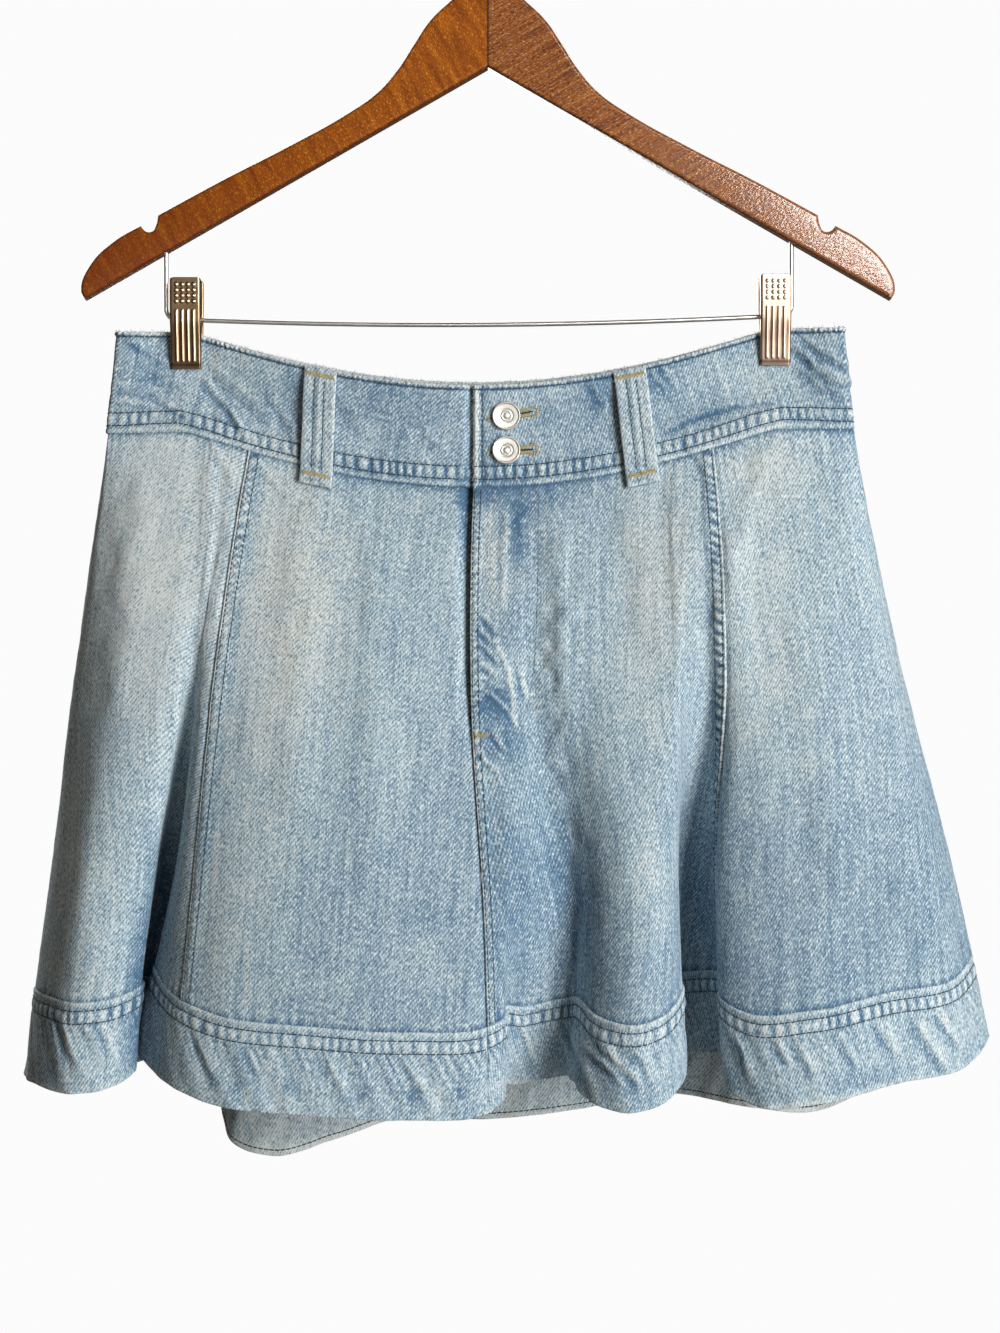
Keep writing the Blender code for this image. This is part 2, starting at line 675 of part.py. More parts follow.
def make_buttons(collection, cutters, steel, overlap):
    """Tack buttons: a ringed cap over the overlap, its shank through the hole to the button stand."""
    rim = BUTTON_SIZE / 2
    shank = SHANK_SIZE / 2
    through = WAISTBAND_WALL
    rim_top, rim_low = BUTTON_RIM
    profile = BUTTON_CAP + [
        (rim, rim_top), (rim, rim_low), (rim - BUTTON_UNDERCUT, BUTTON_REST),
        (shank, BUTTON_REST), (shank, -through), (0.0, -through),
    ]
    for number, (name, drop) in enumerate(zip(("button_upper", "button_lower"), BUTTON_DROPS)):
        seat, normal = button_frame(drop)
        button = turned_object(name, profile, BUTTON_SIDES)
        turn = normal.to_track_quat("Z", "Y").to_matrix().to_4x4()
        button.matrix_world = Matrix.Translation(seat * MM) @ turn
        finish_object(button, collection, steel)
        outside, inside = SHANK_HOLE
        hole = cylinder(
            f"buttonhole_{number}", cutters, seat + normal * outside, seat + normal * inside,
            SHANK_SIZE + 2 * SEAM_GAP
        )
        cut(overlap, hole)


# ---- hanger ----

def curve_object(name, points, radius):
    """Round wire through the points, with closed ends."""
    curve = bpy.data.curves.new(name, "CURVE")
    curve.dimensions = "3D"
    curve.bevel_depth = radius * MM
    curve.bevel_resolution = 2
    curve.use_fill_caps = True
    spline = curve.splines.new("POLY")
    spline.points.add(len(points) - 1)
    for slot, point in zip(spline.points, points):
        slot.co = (*(point * MM), 1.0)
    return bpy.data.objects.new(name, curve)


def hook_path():
    """Stem out of the crown, an easy bend to one side, then the hook's round."""
    radius = HOOK_INNER + HOOK_WIRE / 2
    centre = Vector((0.0, 0.0, -HOOK_INNER))
    first_angle, last_angle = (math.radians(angle) for angle in HOOK_ANGLES)
    stem_low = HANGER_TOP - HOOK_SOCKET
    points = [Vector((0, 0, stem_low)), Vector((0, 0, HANGER_TOP)), Vector((0, 0, STEM_TOP))]
    start = points[-1]
    end = centre + Vector((math.cos(first_angle), 0, math.sin(first_angle))) * radius
    rise, lean = Vector((0, 0, 1)), Vector((math.sin(first_angle), 0, -math.cos(first_angle)))
    reach = (end - start).length
    bend_steps, round_steps = 7, 22
    for i in range(1, bend_steps):
        points.append(hermite(start, end, rise, lean, reach, i / bend_steps))
    for i in range(round_steps + 1):
        angle = first_angle + (last_angle - first_angle) * i / round_steps
        points.append(centre + Vector((math.cos(angle), 0, math.sin(angle))) * radius)
    return points


def bar_path():
    """Upright, round bend, bowed bar, round bend, upright."""
    bend = BAR_BEND
    bend_steps = 4
    ends = []
    for x, level, side in ((BAR_RIGHT, BAR_LEVEL_RIGHT, -1), (BAR_LEFT, BAR_LEVEL_LEFT, 1)):
        wood = underside(abs(x))
        upright = [Vector((x, 0, wood + BAR_SOCKET)), Vector((x, 0, level + bend))]
        centre = Vector((x - side * bend, 0, level + bend))
        for i in range(1, bend_steps + 1):
            angle = math.pi / 2 * i / bend_steps
            upright.append(centre + Vector((side * math.cos(angle), 0, -math.sin(angle))) * bend)
        ends.append(upright)
    first, last = ends[0], ends[1][::-1]
    bar_steps = 10
    run = []
    for i in range(1, bar_steps):
        share = i / bar_steps
        ends_level = BAR_LEVEL_RIGHT + (BAR_LEVEL_LEFT - BAR_LEVEL_RIGHT) * share
        bow = (BAR_LEVEL_MIDDLE - (BAR_LEVEL_RIGHT + BAR_LEVEL_LEFT) / 2) * 4 * share * (1 - share)
        x = first[-1].x + (last[0].x - first[-1].x) * share
        run.append(Vector((x, 0, ends_level + bow)))
    return first + run + last


def underside(out):
    """Level of the hanger's straight lower edge at a distance from the mitre."""
    tip_x, tip_z, _ = HANGER_OUTLINE[0]
    return MITRE_LOW + (tip_z - MITRE_LOW) * out / tip_x


def hanger_blank():
    """Both arms in one board, its edges rounded."""
    curve = bpy.data.curves.new("hanger_blank", "CURVE")
    curve.dimensions = "2D"
    curve.fill_mode = "BOTH"
    curve.extrude = (HANGER_THICK / 2 - HANGER_ROUND) * MM
    curve.bevel_depth = HANGER_ROUND * MM
    curve.bevel_resolution = 1
    curve.offset = -HANGER_ROUND * MM
    curve.resolution_u = 2
    left = [(x, z, smooth) for x, z, smooth in HANGER_OUTLINE]
    right = [(-x, z, smooth) for x, z, smooth in reversed(HANGER_OUTLINE)]
    outline = [(0.0, MITRE_LOW, False)] + left + [(0.0, HANGER_TOP, True)] + right
    spline = curve.splines.new("BEZIER")
    spline.use_cyclic_u = True
    spline.bezier_points.add(len(outline) - 1)
    for knot, (x, z, smooth) in zip(spline.bezier_points, outline):
        knot.co = (x * MM, z * MM, 0.0)
        kind = "AUTO" if smooth else "VECTOR"
        knot.handle_left_type = kind
        knot.handle_right_type = kind
    obj = bpy.data.objects.new("hanger_blank", curve)
    obj.rotation_euler = (math.pi / 2, 0, 0)
    return obj


def mesh_from_curve(obj, name, collection):
    """Mesh copy of a curve object, its caps welded on and its place kept."""
    collection.objects.link(obj)
    bpy.context.view_layer.update()
    depsgraph = bpy.context.evaluated_depsgraph_get()
    mesh = bpy.data.meshes.new_from_object(obj.evaluated_get(depsgraph))
    mesh.name = name
    mesh.transform(obj.matrix_world)
    work = bmesh.new()
    work.from_mesh(mesh)
    bmesh.ops.remove_doubles(work, verts=work.verts[:], dist=0.00001)
    bmesh.ops.recalc_face_normals(work, faces=work.faces[:])
    work.to_mesh(mesh)
    work.free()
    bpy.data.objects.remove(obj, do_unlink=True)
    return mesh


def make_hanger(collection, cutters, wood, steel):
    blank = mesh_from_curve(hanger_blank(), "hanger_arm", cutters)
    hole_size = HOOK_WIRE + 2 * SEAM_GAP
    hole_low = Vector((0, 0, HANGER_TOP - HOOK_SOCKET - SEAM_GAP))
    hook_hole = cylinder("hook_hole", cutters, hole_low, Vector((0, 0, HOOK_HOLE_TOP)), hole_size)
    for name, side, bar_x in (("hanger_arm_left", 1, BAR_LEFT), ("hanger_arm_right", -1, BAR_RIGHT)):
        arm = bpy.data.objects.new(name, blank.copy())
        finish_object(arm, collection, wood)
        near, far = side * SEAM_GAP / 2, side * (HANGER_HALF + CUTTER_REACH)
        low = Vector((min(near, far), -CUTTER_REACH, HANGER_OUTLINE[0][1] - CUTTER_REACH))
        high = Vector((max(near, far), CUTTER_REACH, HANGER_TOP + CUTTER_REACH))
        cut(arm, box(f"{name}_half", cutters, low, high), "INTERSECT")
        cut(arm, hook_hole)
        wood_level = underside(abs(bar_x))
        start = Vector((bar_x, 0, wood_level + BAR_SOCKET + SEAM_GAP))
        end = Vector((bar_x, 0, wood_level - CUTTER_REACH))
        cut(arm, cylinder(f"{name}_socket", cutters, start, end, BAR_WIRE + 2 * SEAM_GAP, 16))
    finish_object(curve_object("hanger_hook", hook_path(), HOOK_WIRE / 2), collection, steel)
    finish_object(curve_object("hanger_bar", bar_path(), BAR_WIRE / 2), collection, steel)


# ---- clips ----

# A clip plate in side view, from its finger end to its jaw: distance out from the clip's middle plane
# and height over the bar's axis.
CLIP_PLATE = [(9.2, 21.8), (9.4, 8.0), (8.6, -3.0), (6.2, -15.0), (4.7, -25.0), (4.0, -27.6)]
CLIP_METAL = 1.0
CLIP_FLANGE = 4.6         # how far the folded sides reach in
CLIP_FLANGE_LOW = 3.0     # the folded sides end above the bar and its spring
CLIP_HOLLOW_REACH = 12.0  # how far the hollow's cutter runs past the middle plane
CLIP_HOLLOW_LOW = 2.5
SPRING_METAL = 0.8
SPRING_WIDTH = 7.0
SPRING_FOOT = (4.9, -11.0)    # where each leg ends, out and height as above
SPRING_ARCH = 0.75        # height of the spring's arch over its half width


def side_view_object(name, outline, width):
    """Solid with this outline in side view (out, height), the given width along X."""
    mesh = bpy.data.meshes.new(name)
    work = bmesh.new()
    ring = [work.verts.new((-width / 2 * MM, y * MM, z * MM)) for y, z in outline]
    face = work.faces.new(ring)
    grown = bmesh.ops.extrude_face_region(work, geom=[face])
    moved = [item for item in grown["geom"] if isinstance(item, bmesh.types.BMVert)]
    bmesh.ops.translate(work, vec=(width * MM, 0, 0), verts=moved)
    bmesh.ops.recalc_face_normals(work, faces=work.faces[:])
    work.to_mesh(mesh)
    work.free()
    return bpy.data.objects.new(name, mesh)


def clip_plate(name, side, collection, cutters, place):
    """Stamped plate with its sides folded in above the bar, hollowed from a solid bar of its outline."""
    front = [(side * out, height) for out, height in CLIP_PLATE]
    sheet = [(side * (out - CLIP_METAL), height) for out, height in CLIP_PLATE]
    fold_top = (side * (CLIP_PLATE[0][0] - CLIP_FLANGE), CLIP_PLATE[0][1])
    fold_low = (side * (CLIP_PLATE[1][0] - CLIP_FLANGE), CLIP_FLANGE_LOW)
    plate = side_view_object(name, front + sheet[:1:-1] + [(sheet[1][0], CLIP_FLANGE_LOW), fold_low, fold_top],
                             CLIP_WIDTH)
    top = CLIP_PLATE[0][1]
    past = -side * CLIP_HOLLOW_REACH
    hollow_outline = [(sheet[0][0], top - CLIP_METAL), (sheet[1][0], CLIP_PLATE[1][1])]
    hollow_outline += [(sheet[1][0], CLIP_HOLLOW_LOW), (past, CLIP_HOLLOW_LOW), (past, top - CLIP_METAL)]
    hollow = side_view_object(f"{name}_hollow", hollow_outline, CLIP_WIDTH - 2 * CLIP_METAL)
    cutters.objects.link(hollow)
    for obj in (plate, hollow):
        obj.location = place * MM
    return plate, hollow


def spring_outline():
    """Flat spring bent over the bar, its legs down the insides of the two plates."""
    middle = CLIP_PLATE[2][0] - CLIP_METAL - SEAM_GAP - SPRING_METAL / 2
    rise = BAR_WIRE / 2 + SEAM_GAP + SPRING_METAL / 2
    arch_height = middle * SPRING_ARCH
    centre = rise - arch_height
    steps = 8
    rings = []
    for out in (middle + SPRING_METAL / 2, middle - SPRING_METAL / 2):
        grow = out - middle
        foot_out, foot_level = SPRING_FOOT[0] + grow, SPRING_FOOT[1]
        arch = [
            (out * math.cos(math.pi * i / steps), centre + (arch_height + grow) * math.sin(math.pi * i / steps))
            for i in range(steps + 1)
        ]
        rings.append([(foot_out, foot_level)] + arch + [(-foot_out, foot_level)])
    return rings[0] + rings[1][::-1]


def make_clips(collection, cutters, nickel, steel):
    for name, side, level in (("left", 1, BAR_LEVEL_LEFT), ("right", -1, BAR_LEVEL_RIGHT)):
        place = Vector((WAIST_MIDDLE + side * CLIP_SPAN / 2, 0, level))
        for face, out in (("front", -1), ("back", 1)):
            plate, hollow = clip_plate(f"clip_{name}_{face}", out, collection, cutters, place)
            finish_object(plate, collection, nickel)
            cut(plate, hollow)
        spring = side_view_object(f"clip_{name}_spring", spring_outline(), SPRING_WIDTH)
        spring.location = place * MM
        finish_object(spring, collection, steel)


def main():
    clear_scene()
    skirt = new_collection("denim skirt on clip hanger")
    cutters = new_collection("cutters")
    denim = principled("washed denim", (0.42, 0.55, 0.66), 0.9)
    button_steel = principled("white nickel button", (0.78, 0.78, 0.76), 0.35, 1.0)
    wood = principled("varnished wood", (0.36, 0.12, 0.03), 0.3)
    steel = principled("bright steel wire", (0.62, 0.6, 0.58), 0.25, 1.0)
    nickel = principled("nickel plated clip", (0.6, 0.53, 0.46), 0.3, 1.0)
    make_body_panels(skirt, denim)
    make_hem_bands(skirt, denim)
    overlap = make_waistband(skirt, denim)
    make_belt_loops(skirt, denim)
    make_buttons(skirt, cutters, button_steel, overlap)
    make_hanger(skirt, cutters, wood, steel)
    make_clips(skirt, cutters, nickel, steel)


main()
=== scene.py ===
import math

import bmesh
import bpy
import numpy as np
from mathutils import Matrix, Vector


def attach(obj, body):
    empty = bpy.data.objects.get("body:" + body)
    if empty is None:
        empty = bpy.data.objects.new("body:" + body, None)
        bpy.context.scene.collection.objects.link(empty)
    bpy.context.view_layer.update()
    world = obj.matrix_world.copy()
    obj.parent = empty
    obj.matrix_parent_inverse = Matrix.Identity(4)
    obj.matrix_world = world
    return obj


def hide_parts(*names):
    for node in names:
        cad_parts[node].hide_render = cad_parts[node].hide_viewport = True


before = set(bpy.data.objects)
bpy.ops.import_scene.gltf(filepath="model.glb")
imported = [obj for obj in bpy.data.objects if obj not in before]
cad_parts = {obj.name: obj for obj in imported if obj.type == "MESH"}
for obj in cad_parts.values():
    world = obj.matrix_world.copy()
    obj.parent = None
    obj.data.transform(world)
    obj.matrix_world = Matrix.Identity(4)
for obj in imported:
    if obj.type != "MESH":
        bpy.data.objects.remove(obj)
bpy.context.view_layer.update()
mm = 0.001
print("frame loaded", len(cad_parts), "nodes")


# Small helpers, all lengths in millimetres until a mesh is made.


def tableFrom(text):  # rows of a table by column name; the first column holds words and the others numbers
    head, *rows = [line.split() for line in text.strip().splitlines()]
    return [dict(zip(head, [row[0], *map(float, row[1:])])) for row in rows]


def linear(code):
    parts = [int(code[i:i + 2], 16) / 255 for i in (1, 3, 5)]
    return (*[c / 12.92 if c <= 0.04045 else ((c + 0.055) / 1.055) ** 2.4 for c in parts], 1.0)


def unit(v):
    return v / np.maximum(np.linalg.norm(v, axis=-1, keepdims=True), 1e-9)


def runAlong(points):  # distance from the first point or row of points to each of the others
    steps = np.linalg.norm(np.diff(points, axis=0), axis=-1)
    return np.concatenate([0 * steps[:1], np.cumsum(steps, axis=0)])


def readAt(stops, run, values):  # rows of values read between their distances
    return np.stack([np.interp(stops, run, values[:, i]) for i in range(values.shape[1])], -1)


def turned(flat, degrees):  # flat millimetres turned to the grain, as metres
    t = math.radians(degrees)
    x, y = flat[..., 0], flat[..., 1]
    return np.stack([x * math.cos(t) - y * math.sin(t), x * math.sin(t) + y * math.cos(t)], -1) * mm


def rise(low, high, value):
    share = np.clip((value - low) / (high - low), 0, 1)
    return share * share * (3 - 2 * share)


def bell(value, middle, width):
    return np.exp(-((value - middle) / width) ** 2)


def mottle(across, along, size, seed=0.0):  # smooth blotches between -1 and 1
    x, y = across / size, along / size
    xi, yi = np.floor(x), np.floor(y)
    fx, fy = rise(0, 1, x - xi), rise(0, 1, y - yi)

    def corner(a, b):
        h = np.sin(a * 127.1 + b * 311.7 + seed * 74.7) * 43758.5453
        return h - np.floor(h)

    low = corner(xi, yi) * (1 - fx) + corner(xi + 1, yi) * fx
    high = corner(xi, yi + 1) * (1 - fx) + corner(xi + 1, yi + 1) * fx
    return 2 * (low * (1 - fy) + high * fy) - 1


def ruck(s, pitch, seed=0.0):  # uneven row of puckers between -1 and 1
    wander = 2.3 * mottle(s, 0 * s, pitch * 2.9, seed) + 1.2 * np.sin(math.tau * s / (pitch * 8.3) + 2 * seed)
    swell = 0.6 + 0.4 * mottle(s, 0 * s + pitch, pitch * 1.9, seed + 5)
    return np.sin(math.tau * s / pitch + wander) * swell


def addNode(tree, kind, settings=None, links=None):
    node = tree.nodes.new(kind)
    for key, value in (settings or {}).items():
        if isinstance(key, int) or key in node.inputs:
            node.inputs[key].default_value = value
        else:
            setattr(node, key, value)
    for socket, source in (links or {}).items():
        tree.links.new(source, node.inputs[socket])
    return node


def newMaterial(name, settings):  # settings are values of the shader's sockets
    material = bpy.data.materials.new(name)
    material.use_nodes = True
    tree = material.node_tree
    shader = tree.nodes["Principled BSDF"]
    for socket, value in settings.items():
        shader.inputs[socket].default_value = value
    return material, tree, shader


def mix(tree, factor, a, b):
    node = addNode(tree, "ShaderNodeMix", {"data_type": "RGBA"})
    for socket, value in ((0, factor), (6, a), (7, b)):
        if isinstance(value, bpy.types.NodeSocket):
            tree.links.new(value, node.inputs[socket])
        else:
            node.inputs[socket].default_value = value
    return node.outputs[2]


def sumOf(tree, start, terms):  # start plus each (socket less its middle value) times its amount
    total = start
    for socket, amount, middle in terms:
        less = addNode(tree, "ShaderNodeMath", {"operation": "SUBTRACT", 1: middle}, {0: socket})
        node = addNode(tree, "ShaderNodeMath", {"operation": "MULTIPLY_ADD", 1: amount}, {0: less.outputs[0]})
        if isinstance(total, bpy.types.NodeSocket):
            tree.links.new(total, node.inputs[2])
        else:
            node.inputs[2].default_value = total
        total = node.outputs[0]
    return total


def noise(tree, place, scale, detail=2.0, roughness=0.5):
    settings = {"Scale": scale, "Detail": detail, "Roughness": roughness}
    return addNode(tree, "ShaderNodeTexNoise", settings, {0: place}).outputs[0]


def ranged(tree, value, low, high, atLow, atHigh):
    return addNode(tree, "ShaderNodeMapRange", {1: low, 2: high, 3: atLow, 4: atHigh}, {0: value}).outputs[0]


def threeTones(tree, tone, look, low, high):  # colours of a look placed at low, half and high
    ramp = addNode(tree, "ShaderNodeValToRGB", {}, {0: tone})
    elements = ramp.color_ramp.elements
    elements[0].position, elements[0].color = low, linear(look["dark"])
    elements[1].position, elements[1].color = high, linear(look["light"])
    elements.new(0.5).color = linear(look["mid"])
    return ramp.outputs[0]


def washParts(tree):
    wash = addNode(tree, "ShaderNodeAttribute", {"attribute_name": "wash"})
    return addNode(tree, "ShaderNodeSeparateColor", {}, {0: wash.outputs[0]}).outputs


def addBump(tree, shader, height, strength, distance, socket="Normal"):
    settings = {"Strength": strength, "Distance": distance * mm}
    bump = addNode(tree, "ShaderNodeBump", settings, {"Height": height})
    tree.links.new(bump.outputs[0], shader.inputs[socket])


def dress(obj, materials, node=None):  # every visible piece is part of the one body
    for material in materials:
        obj.data.materials.append(material)
    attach(obj, "root")
    if node:
        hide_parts(node)
    return obj


# Camera first: 74 mm lens on the frame's long side, level with the middle of the skirt.

cameraSettings = dict(place=(0.0066, -1.5, -0.4439), lens=74.06)
camera = bpy.data.objects.new("camera", bpy.data.cameras.new("camera"))
camera.location = cameraSettings["place"]
camera.rotation_euler = (math.pi / 2, 0, 0)
camera.data.lens = cameraSettings["lens"]
camera.data.sensor_width = 36
bpy.context.scene.collection.objects.link(camera)
bpy.context.scene.camera = camera


# The skirt's middle surface. place runs in millimetres of hem from the wearer's right side seam across the
# front; level is 0 at the top edge, 1 at the waist seam and 2 at the hem.

form = dict(
    seamGap=0.3, bodyWall=1.3, waistbandWall=2.4, waistbandHeight=56.0, hemBandWall=2.6, hemBandShare=0.138,
    waistMiddle=-4.0, clipSpan=321.5, clipWidth=16.8, waistHalf=203.0, waistTaper=0.973, waistLevel=-260.0,
    frontSag=31.0, backSag=27.0, sagPower=1.15, waistTilt=0.006, clipFlat=22.0, clipMargin=6.0, topBelly=11.0,
    seamBelly=10.0, seamEase=6.0, endLoop=4.6, sideRound=20.0, underlap=32.0, lapJog=6.0, bodyLength=345.0,
)
dropLevels = (0.0, 0.35, 0.70, 1.0)
foldTable = tableFrom("""
name            waist    hip  hipY  low lowY    hem hemY hemZ
sideRight      -206.9   -224     3 -240    5   -252    4 -667
rightEdge        -203   -213   -15 -229  -24   -241  -26 -669
rightFlare       -189   -193   -27 -211  -41   -219  -44 -671
rightShoulder    -166   -172   -30 -191  -39   -201  -40 -668
rightLip         -156   -163   -29 -180  -29   -190  -29 -661
rightTuck      -152.2   -160 -27.5 -181  -12   -198  -15 -658
rightValley    -148.6 -158.1 -26.3 -178    1 -197.5    0 -660
rightFloor     -146.5 -156.2   -26 -172    4   -191  7.5 -661
rightTurn      -144.3 -154.3 -26.3 -166   -5   -184    1 -656
rightTip       -140.7 -153.3 -27.8 -168  -22 -191.5  -13 -650
rightWall      -136.6 -151.3 -30.2 -165  -35   -181  -28 -659
princessRight    -130   -146   -33 -157  -45   -166  -48 -667
centreRight      -108   -120   -39 -138  -54   -145  -59 -674
rightFront        -75    -78   -42  -88  -60    -98  -64 -679
rightInner        -42    -42   -42  -44  -58    -44  -62 -682
centreFront        -8     -9   -39   -2  -52      0  -50 -680
flyFold           0.1   -0.6 -38.5    7  -50      8  -38 -675
flyTuck           9.7    9.4   -37   12  -48      6  -21 -669
flyShelf         17.8   17.8 -35.5   22  -42     14   -9 -671
leftFloor        28.5     29 -33.5   36  -31     33   -6 -668
leftFoot         35.1   35.8   -33   46  -27     43  -12 -666
leftRise         44.8   45.9 -34.5   53  -37     46  -29 -666
leftBulge        55.3   56.8 -36.5   60  -48     54  -46 -674
centreLeft         68     70   -38   77  -56     74  -57 -679
leftFront          93     96   -37   94  -50     96  -48 -673
leftLip          98.9  102.4 -35.5  102  -32    106  -32 -661
leftTuck        104.1    108   -32  101  -15    102  -16 -656
leftValley      108.7    113   -29  105   -2    106   -2 -656
leftPocket      112.8  117.4 -27.5  114    3    117    5 -656
leftTurn        116.7  121.6 -28.5  122   -5    128   -1 -655
princessLeft    122.5    128 -31.5  124  -22    132  -19 -657
leftFold        129.4    135   -33  124  -34    128  -36 -667
leftInner         138    144   -32  139  -44    144  -51 -677
leftFlare         160    168   -30  169  -47    172  -56 -675
leftOuter         182    195   -25  205  -38    217  -42 -666
leftEdge          196    216   -13  242  -20    259  -19 -659
sideLeft        198.9    223     2  252    3    273    3 -647
backLeftEdge      195    218    15  244   21    261   22 -658
backLeftFlare     166    187    31  209   44    224   47 -678
backLeftOuter     140    158    33  176   48    188   52 -695
backLeftDip       112    126    31  141   32    149   28 -690
backLeftRidge      72     82    36   94   50    100   55 -686
backLeftInner      34     42    35   48   42     52   44 -693
centreBack         -4     -4    36   -4   42     -4   38 -698
backRightInner    -34    -38    37  -44   51    -46   56 -699
backRightDip      -66    -72    33  -84   32    -86   24 -707
backRightFloor    -92    -99    31 -114   24   -120   13 -714
backRightWall  -108.3 -116.4    32 -131   28   -142   20 -707
backRightLip   -118.1 -126.9  32.5 -137   36   -147   33 -696
backRightRidge   -129 -138.6    33 -143   45   -151   48 -684
backRightRound -143.8 -154.4  32.5 -163   51   -170   57 -672
backRightFlare -177.9 -190.8    30 -208   44   -217   46 -663
backRightEdge  -203.5   -218    17 -233   24   -245   23 -665
""")
hemLine = np.array([[fold["hem"], fold["hemY"]] for fold in foldTable])
hemSteps = np.linalg.norm(np.roll(hemLine, -1, axis=0) - hemLine, axis=1)
knots = np.concatenate([[0], np.cumsum(hemSteps)[:-1]])
girth = hemSteps.sum()
lines = {fold["name"]: knot for fold, knot in zip(foldTable, knots)}


def hermite(start, end, slopeStart, slopeEnd, step, share):
    square, cube = share ** 2, share ** 3
    return (start * (2 * cube - 3 * square + 1) + slopeStart * step * (cube - 2 * square + share)
            + end * (3 * square - 2 * cube) + slopeEnd * step * (cube - square))


def ringThrough(column):  # closed spline of one column round the skirt
    values = np.array([fold[column] for fold in foldTable])
    before = np.roll(hemSteps, 1)
    slopes = ((values - np.roll(values, 1)) / before * hemSteps
              + (np.roll(values, -1) - values) / hemSteps * before) / (before + hemSteps)

    def at(place):
        place = np.mod(place, girth)
        i = np.searchsorted(knots, place + 1e-9, side="right") - 1
        j = (i + 1) % len(values)
        share = (place - knots[i]) / hemSteps[i]
        return hermite(values[i], values[j], slopes[i], slopes[j], hemSteps[i], share)

    return at


rings = {column: ringThrough(column) for column in list(foldTable[0])[1:]}


def alongDrop(values, share):  # open spline down the cloth through four values
    h = np.diff(dropLevels)
    run = [(values[i + 1] - values[i]) / h[i] for i in range(3)]
    upper = (run[0] * h[1] + run[1] * h[0]) / (h[0] + h[1])
    lower = (run[1] * h[2] + run[2] * h[1]) / (h[1] + h[2])
    slopes = [2 * run[0] - upper, upper, lower, 2 * run[2] - lower]
    out = values[0] + 0 * share
    for i in range(3):
        along = (share - dropLevels[i]) / h[i]
        part = hermite(values[i], values[i + 1], slopes[i], slopes[i + 1], h[i], along)
        out = np.where(share >= dropLevels[i], part, out)
    return out


def isBack(place):
    return np.mod(place, girth) > lines["sideLeft"]


def waistX(place, level):
    taper = form["waistTaper"] + (1 - form["waistTaper"]) * level
    return form["waistMiddle"] + (rings["waist"](place) - form["waistMiddle"]) * taper


def bandPoint(place, level):
    f = form
    x = waistX(place, level)
    back = isBack(place)
    reach = (x - f["waistMiddle"]) / (f["clipSpan"] / 2)
    sag = np.where(back, f["backSag"], f["frontSag"])
    z = f["waistLevel"] + f["waistTilt"] * x - sag * np.maximum(0, 1 - reach ** 2) ** f["sagPower"]
    out = np.abs(x - f["waistMiddle"])
    end = f["waistHalf"] * (f["waistTaper"] + (1 - f["waistTaper"]) * level)
    pinch = (f["seamGap"] + f["waistbandWall"]) / 2
    flatEnd = f["clipSpan"] / 2 + f["clipWidth"] / 2 + f["clipMargin"]
    belly = np.maximum(0, 1 - (out / (f["clipSpan"] / 2 - f["clipWidth"] / 2 - f["clipMargin"])) ** 2) ** 0.9
    top = pinch + f["topBelly"] * belly + (f["endLoop"] - pinch) * rise(flatEnd, end - f["endLoop"], out)
    seam = f["seamEase"] + f["seamBelly"] * (1 - (out / f["waistHalf"]) ** 2)
    depth = top + (seam - top) * rise(f["clipFlat"] / f["waistbandHeight"], 1.0, level)
    around = np.mod(place, girth)
    aside = np.minimum(np.minimum(around, np.abs(around - lines["sideLeft"])), girth - around)
    loop = np.sin(math.pi / 2 * np.minimum(1, aside / f["sideRound"]))
    y = depth * loop * np.where(back, 1, -1)
    return np.stack([x, y, z - f["waistbandHeight"] * level], -1)


def skirtPoint(place, level):
    band = bandPoint(place, np.minimum(level, 1.0))
    share = np.maximum(level - 1, 0.0)
    x = alongDrop([band[..., 0], rings["hip"](place), rings["low"](place), rings["hem"](place)], share)
    y = alongDrop([band[..., 1], rings["hipY"](place), rings["lowY"](place), rings["hemY"](place)], share)
    z = band[..., 2] + (rings["hemZ"](place) - band[..., 2]) * share
    body = np.stack([x, y, z], -1)
    return np.where((level > 1)[..., None], body, band)


def skirtFrame(place, level):  # point, and unit vectors across, down and out of the cloth

    def step(drop):
        inBand = (level < 1) | ((level == 1) & (drop < 0))
        return drop / np.where(inBand, form["waistbandHeight"], form["bodyLength"])

    point = skirtPoint(place, level)
    down = unit(skirtPoint(place, np.minimum(2.0, level + step(2.0)))
                - skirtPoint(place, np.maximum(0.0, level + step(-2.0))))
    across = unit(skirtPoint(place + 1.5, level) - skirtPoint(place - 1.5, level))
    return point, across, down, unit(np.cross(down, across))


def placeAt(x, level, back):  # where round the skirt the waistband stands at this x
    low, high = (lines["sideLeft"], girth) if back else (0.0, lines["sideLeft"])
    for _ in range(40):
        middle = (low + high) / 2
        if (waistX(middle, level) < x) != back:
            low = middle
        else:
            high = middle
    return (low + high) / 2


# Meshes


def meshFrom(name, vertices, faces, uv=None, wash=None, inside=None):
    mesh = bpy.data.meshes.new(name)
    mesh.from_pydata(vertices * mm, [], faces)
    if uv is not None:
        corners = np.zeros(len(mesh.loops), np.int32)
        mesh.loops.foreach_get("vertex_index", corners)
        mesh.uv_layers.new(name="cloth").data.foreach_set("uv", uv[corners].astype(np.float32).ravel())
    if wash is not None:
        layer = mesh.attributes.new("wash", "FLOAT_COLOR", "POINT")
        layer.data.foreach_set("color", wash.astype(np.float32).ravel())
    if inside is not None:
        mesh.polygons.foreach_set("material_index", inside.astype(np.int32))
    mesh.validate()
    mesh.shade_smooth()
    obj = bpy.data.objects.new(name, mesh)
    bpy.context.scene.collection.objects.link(obj)
    return obj


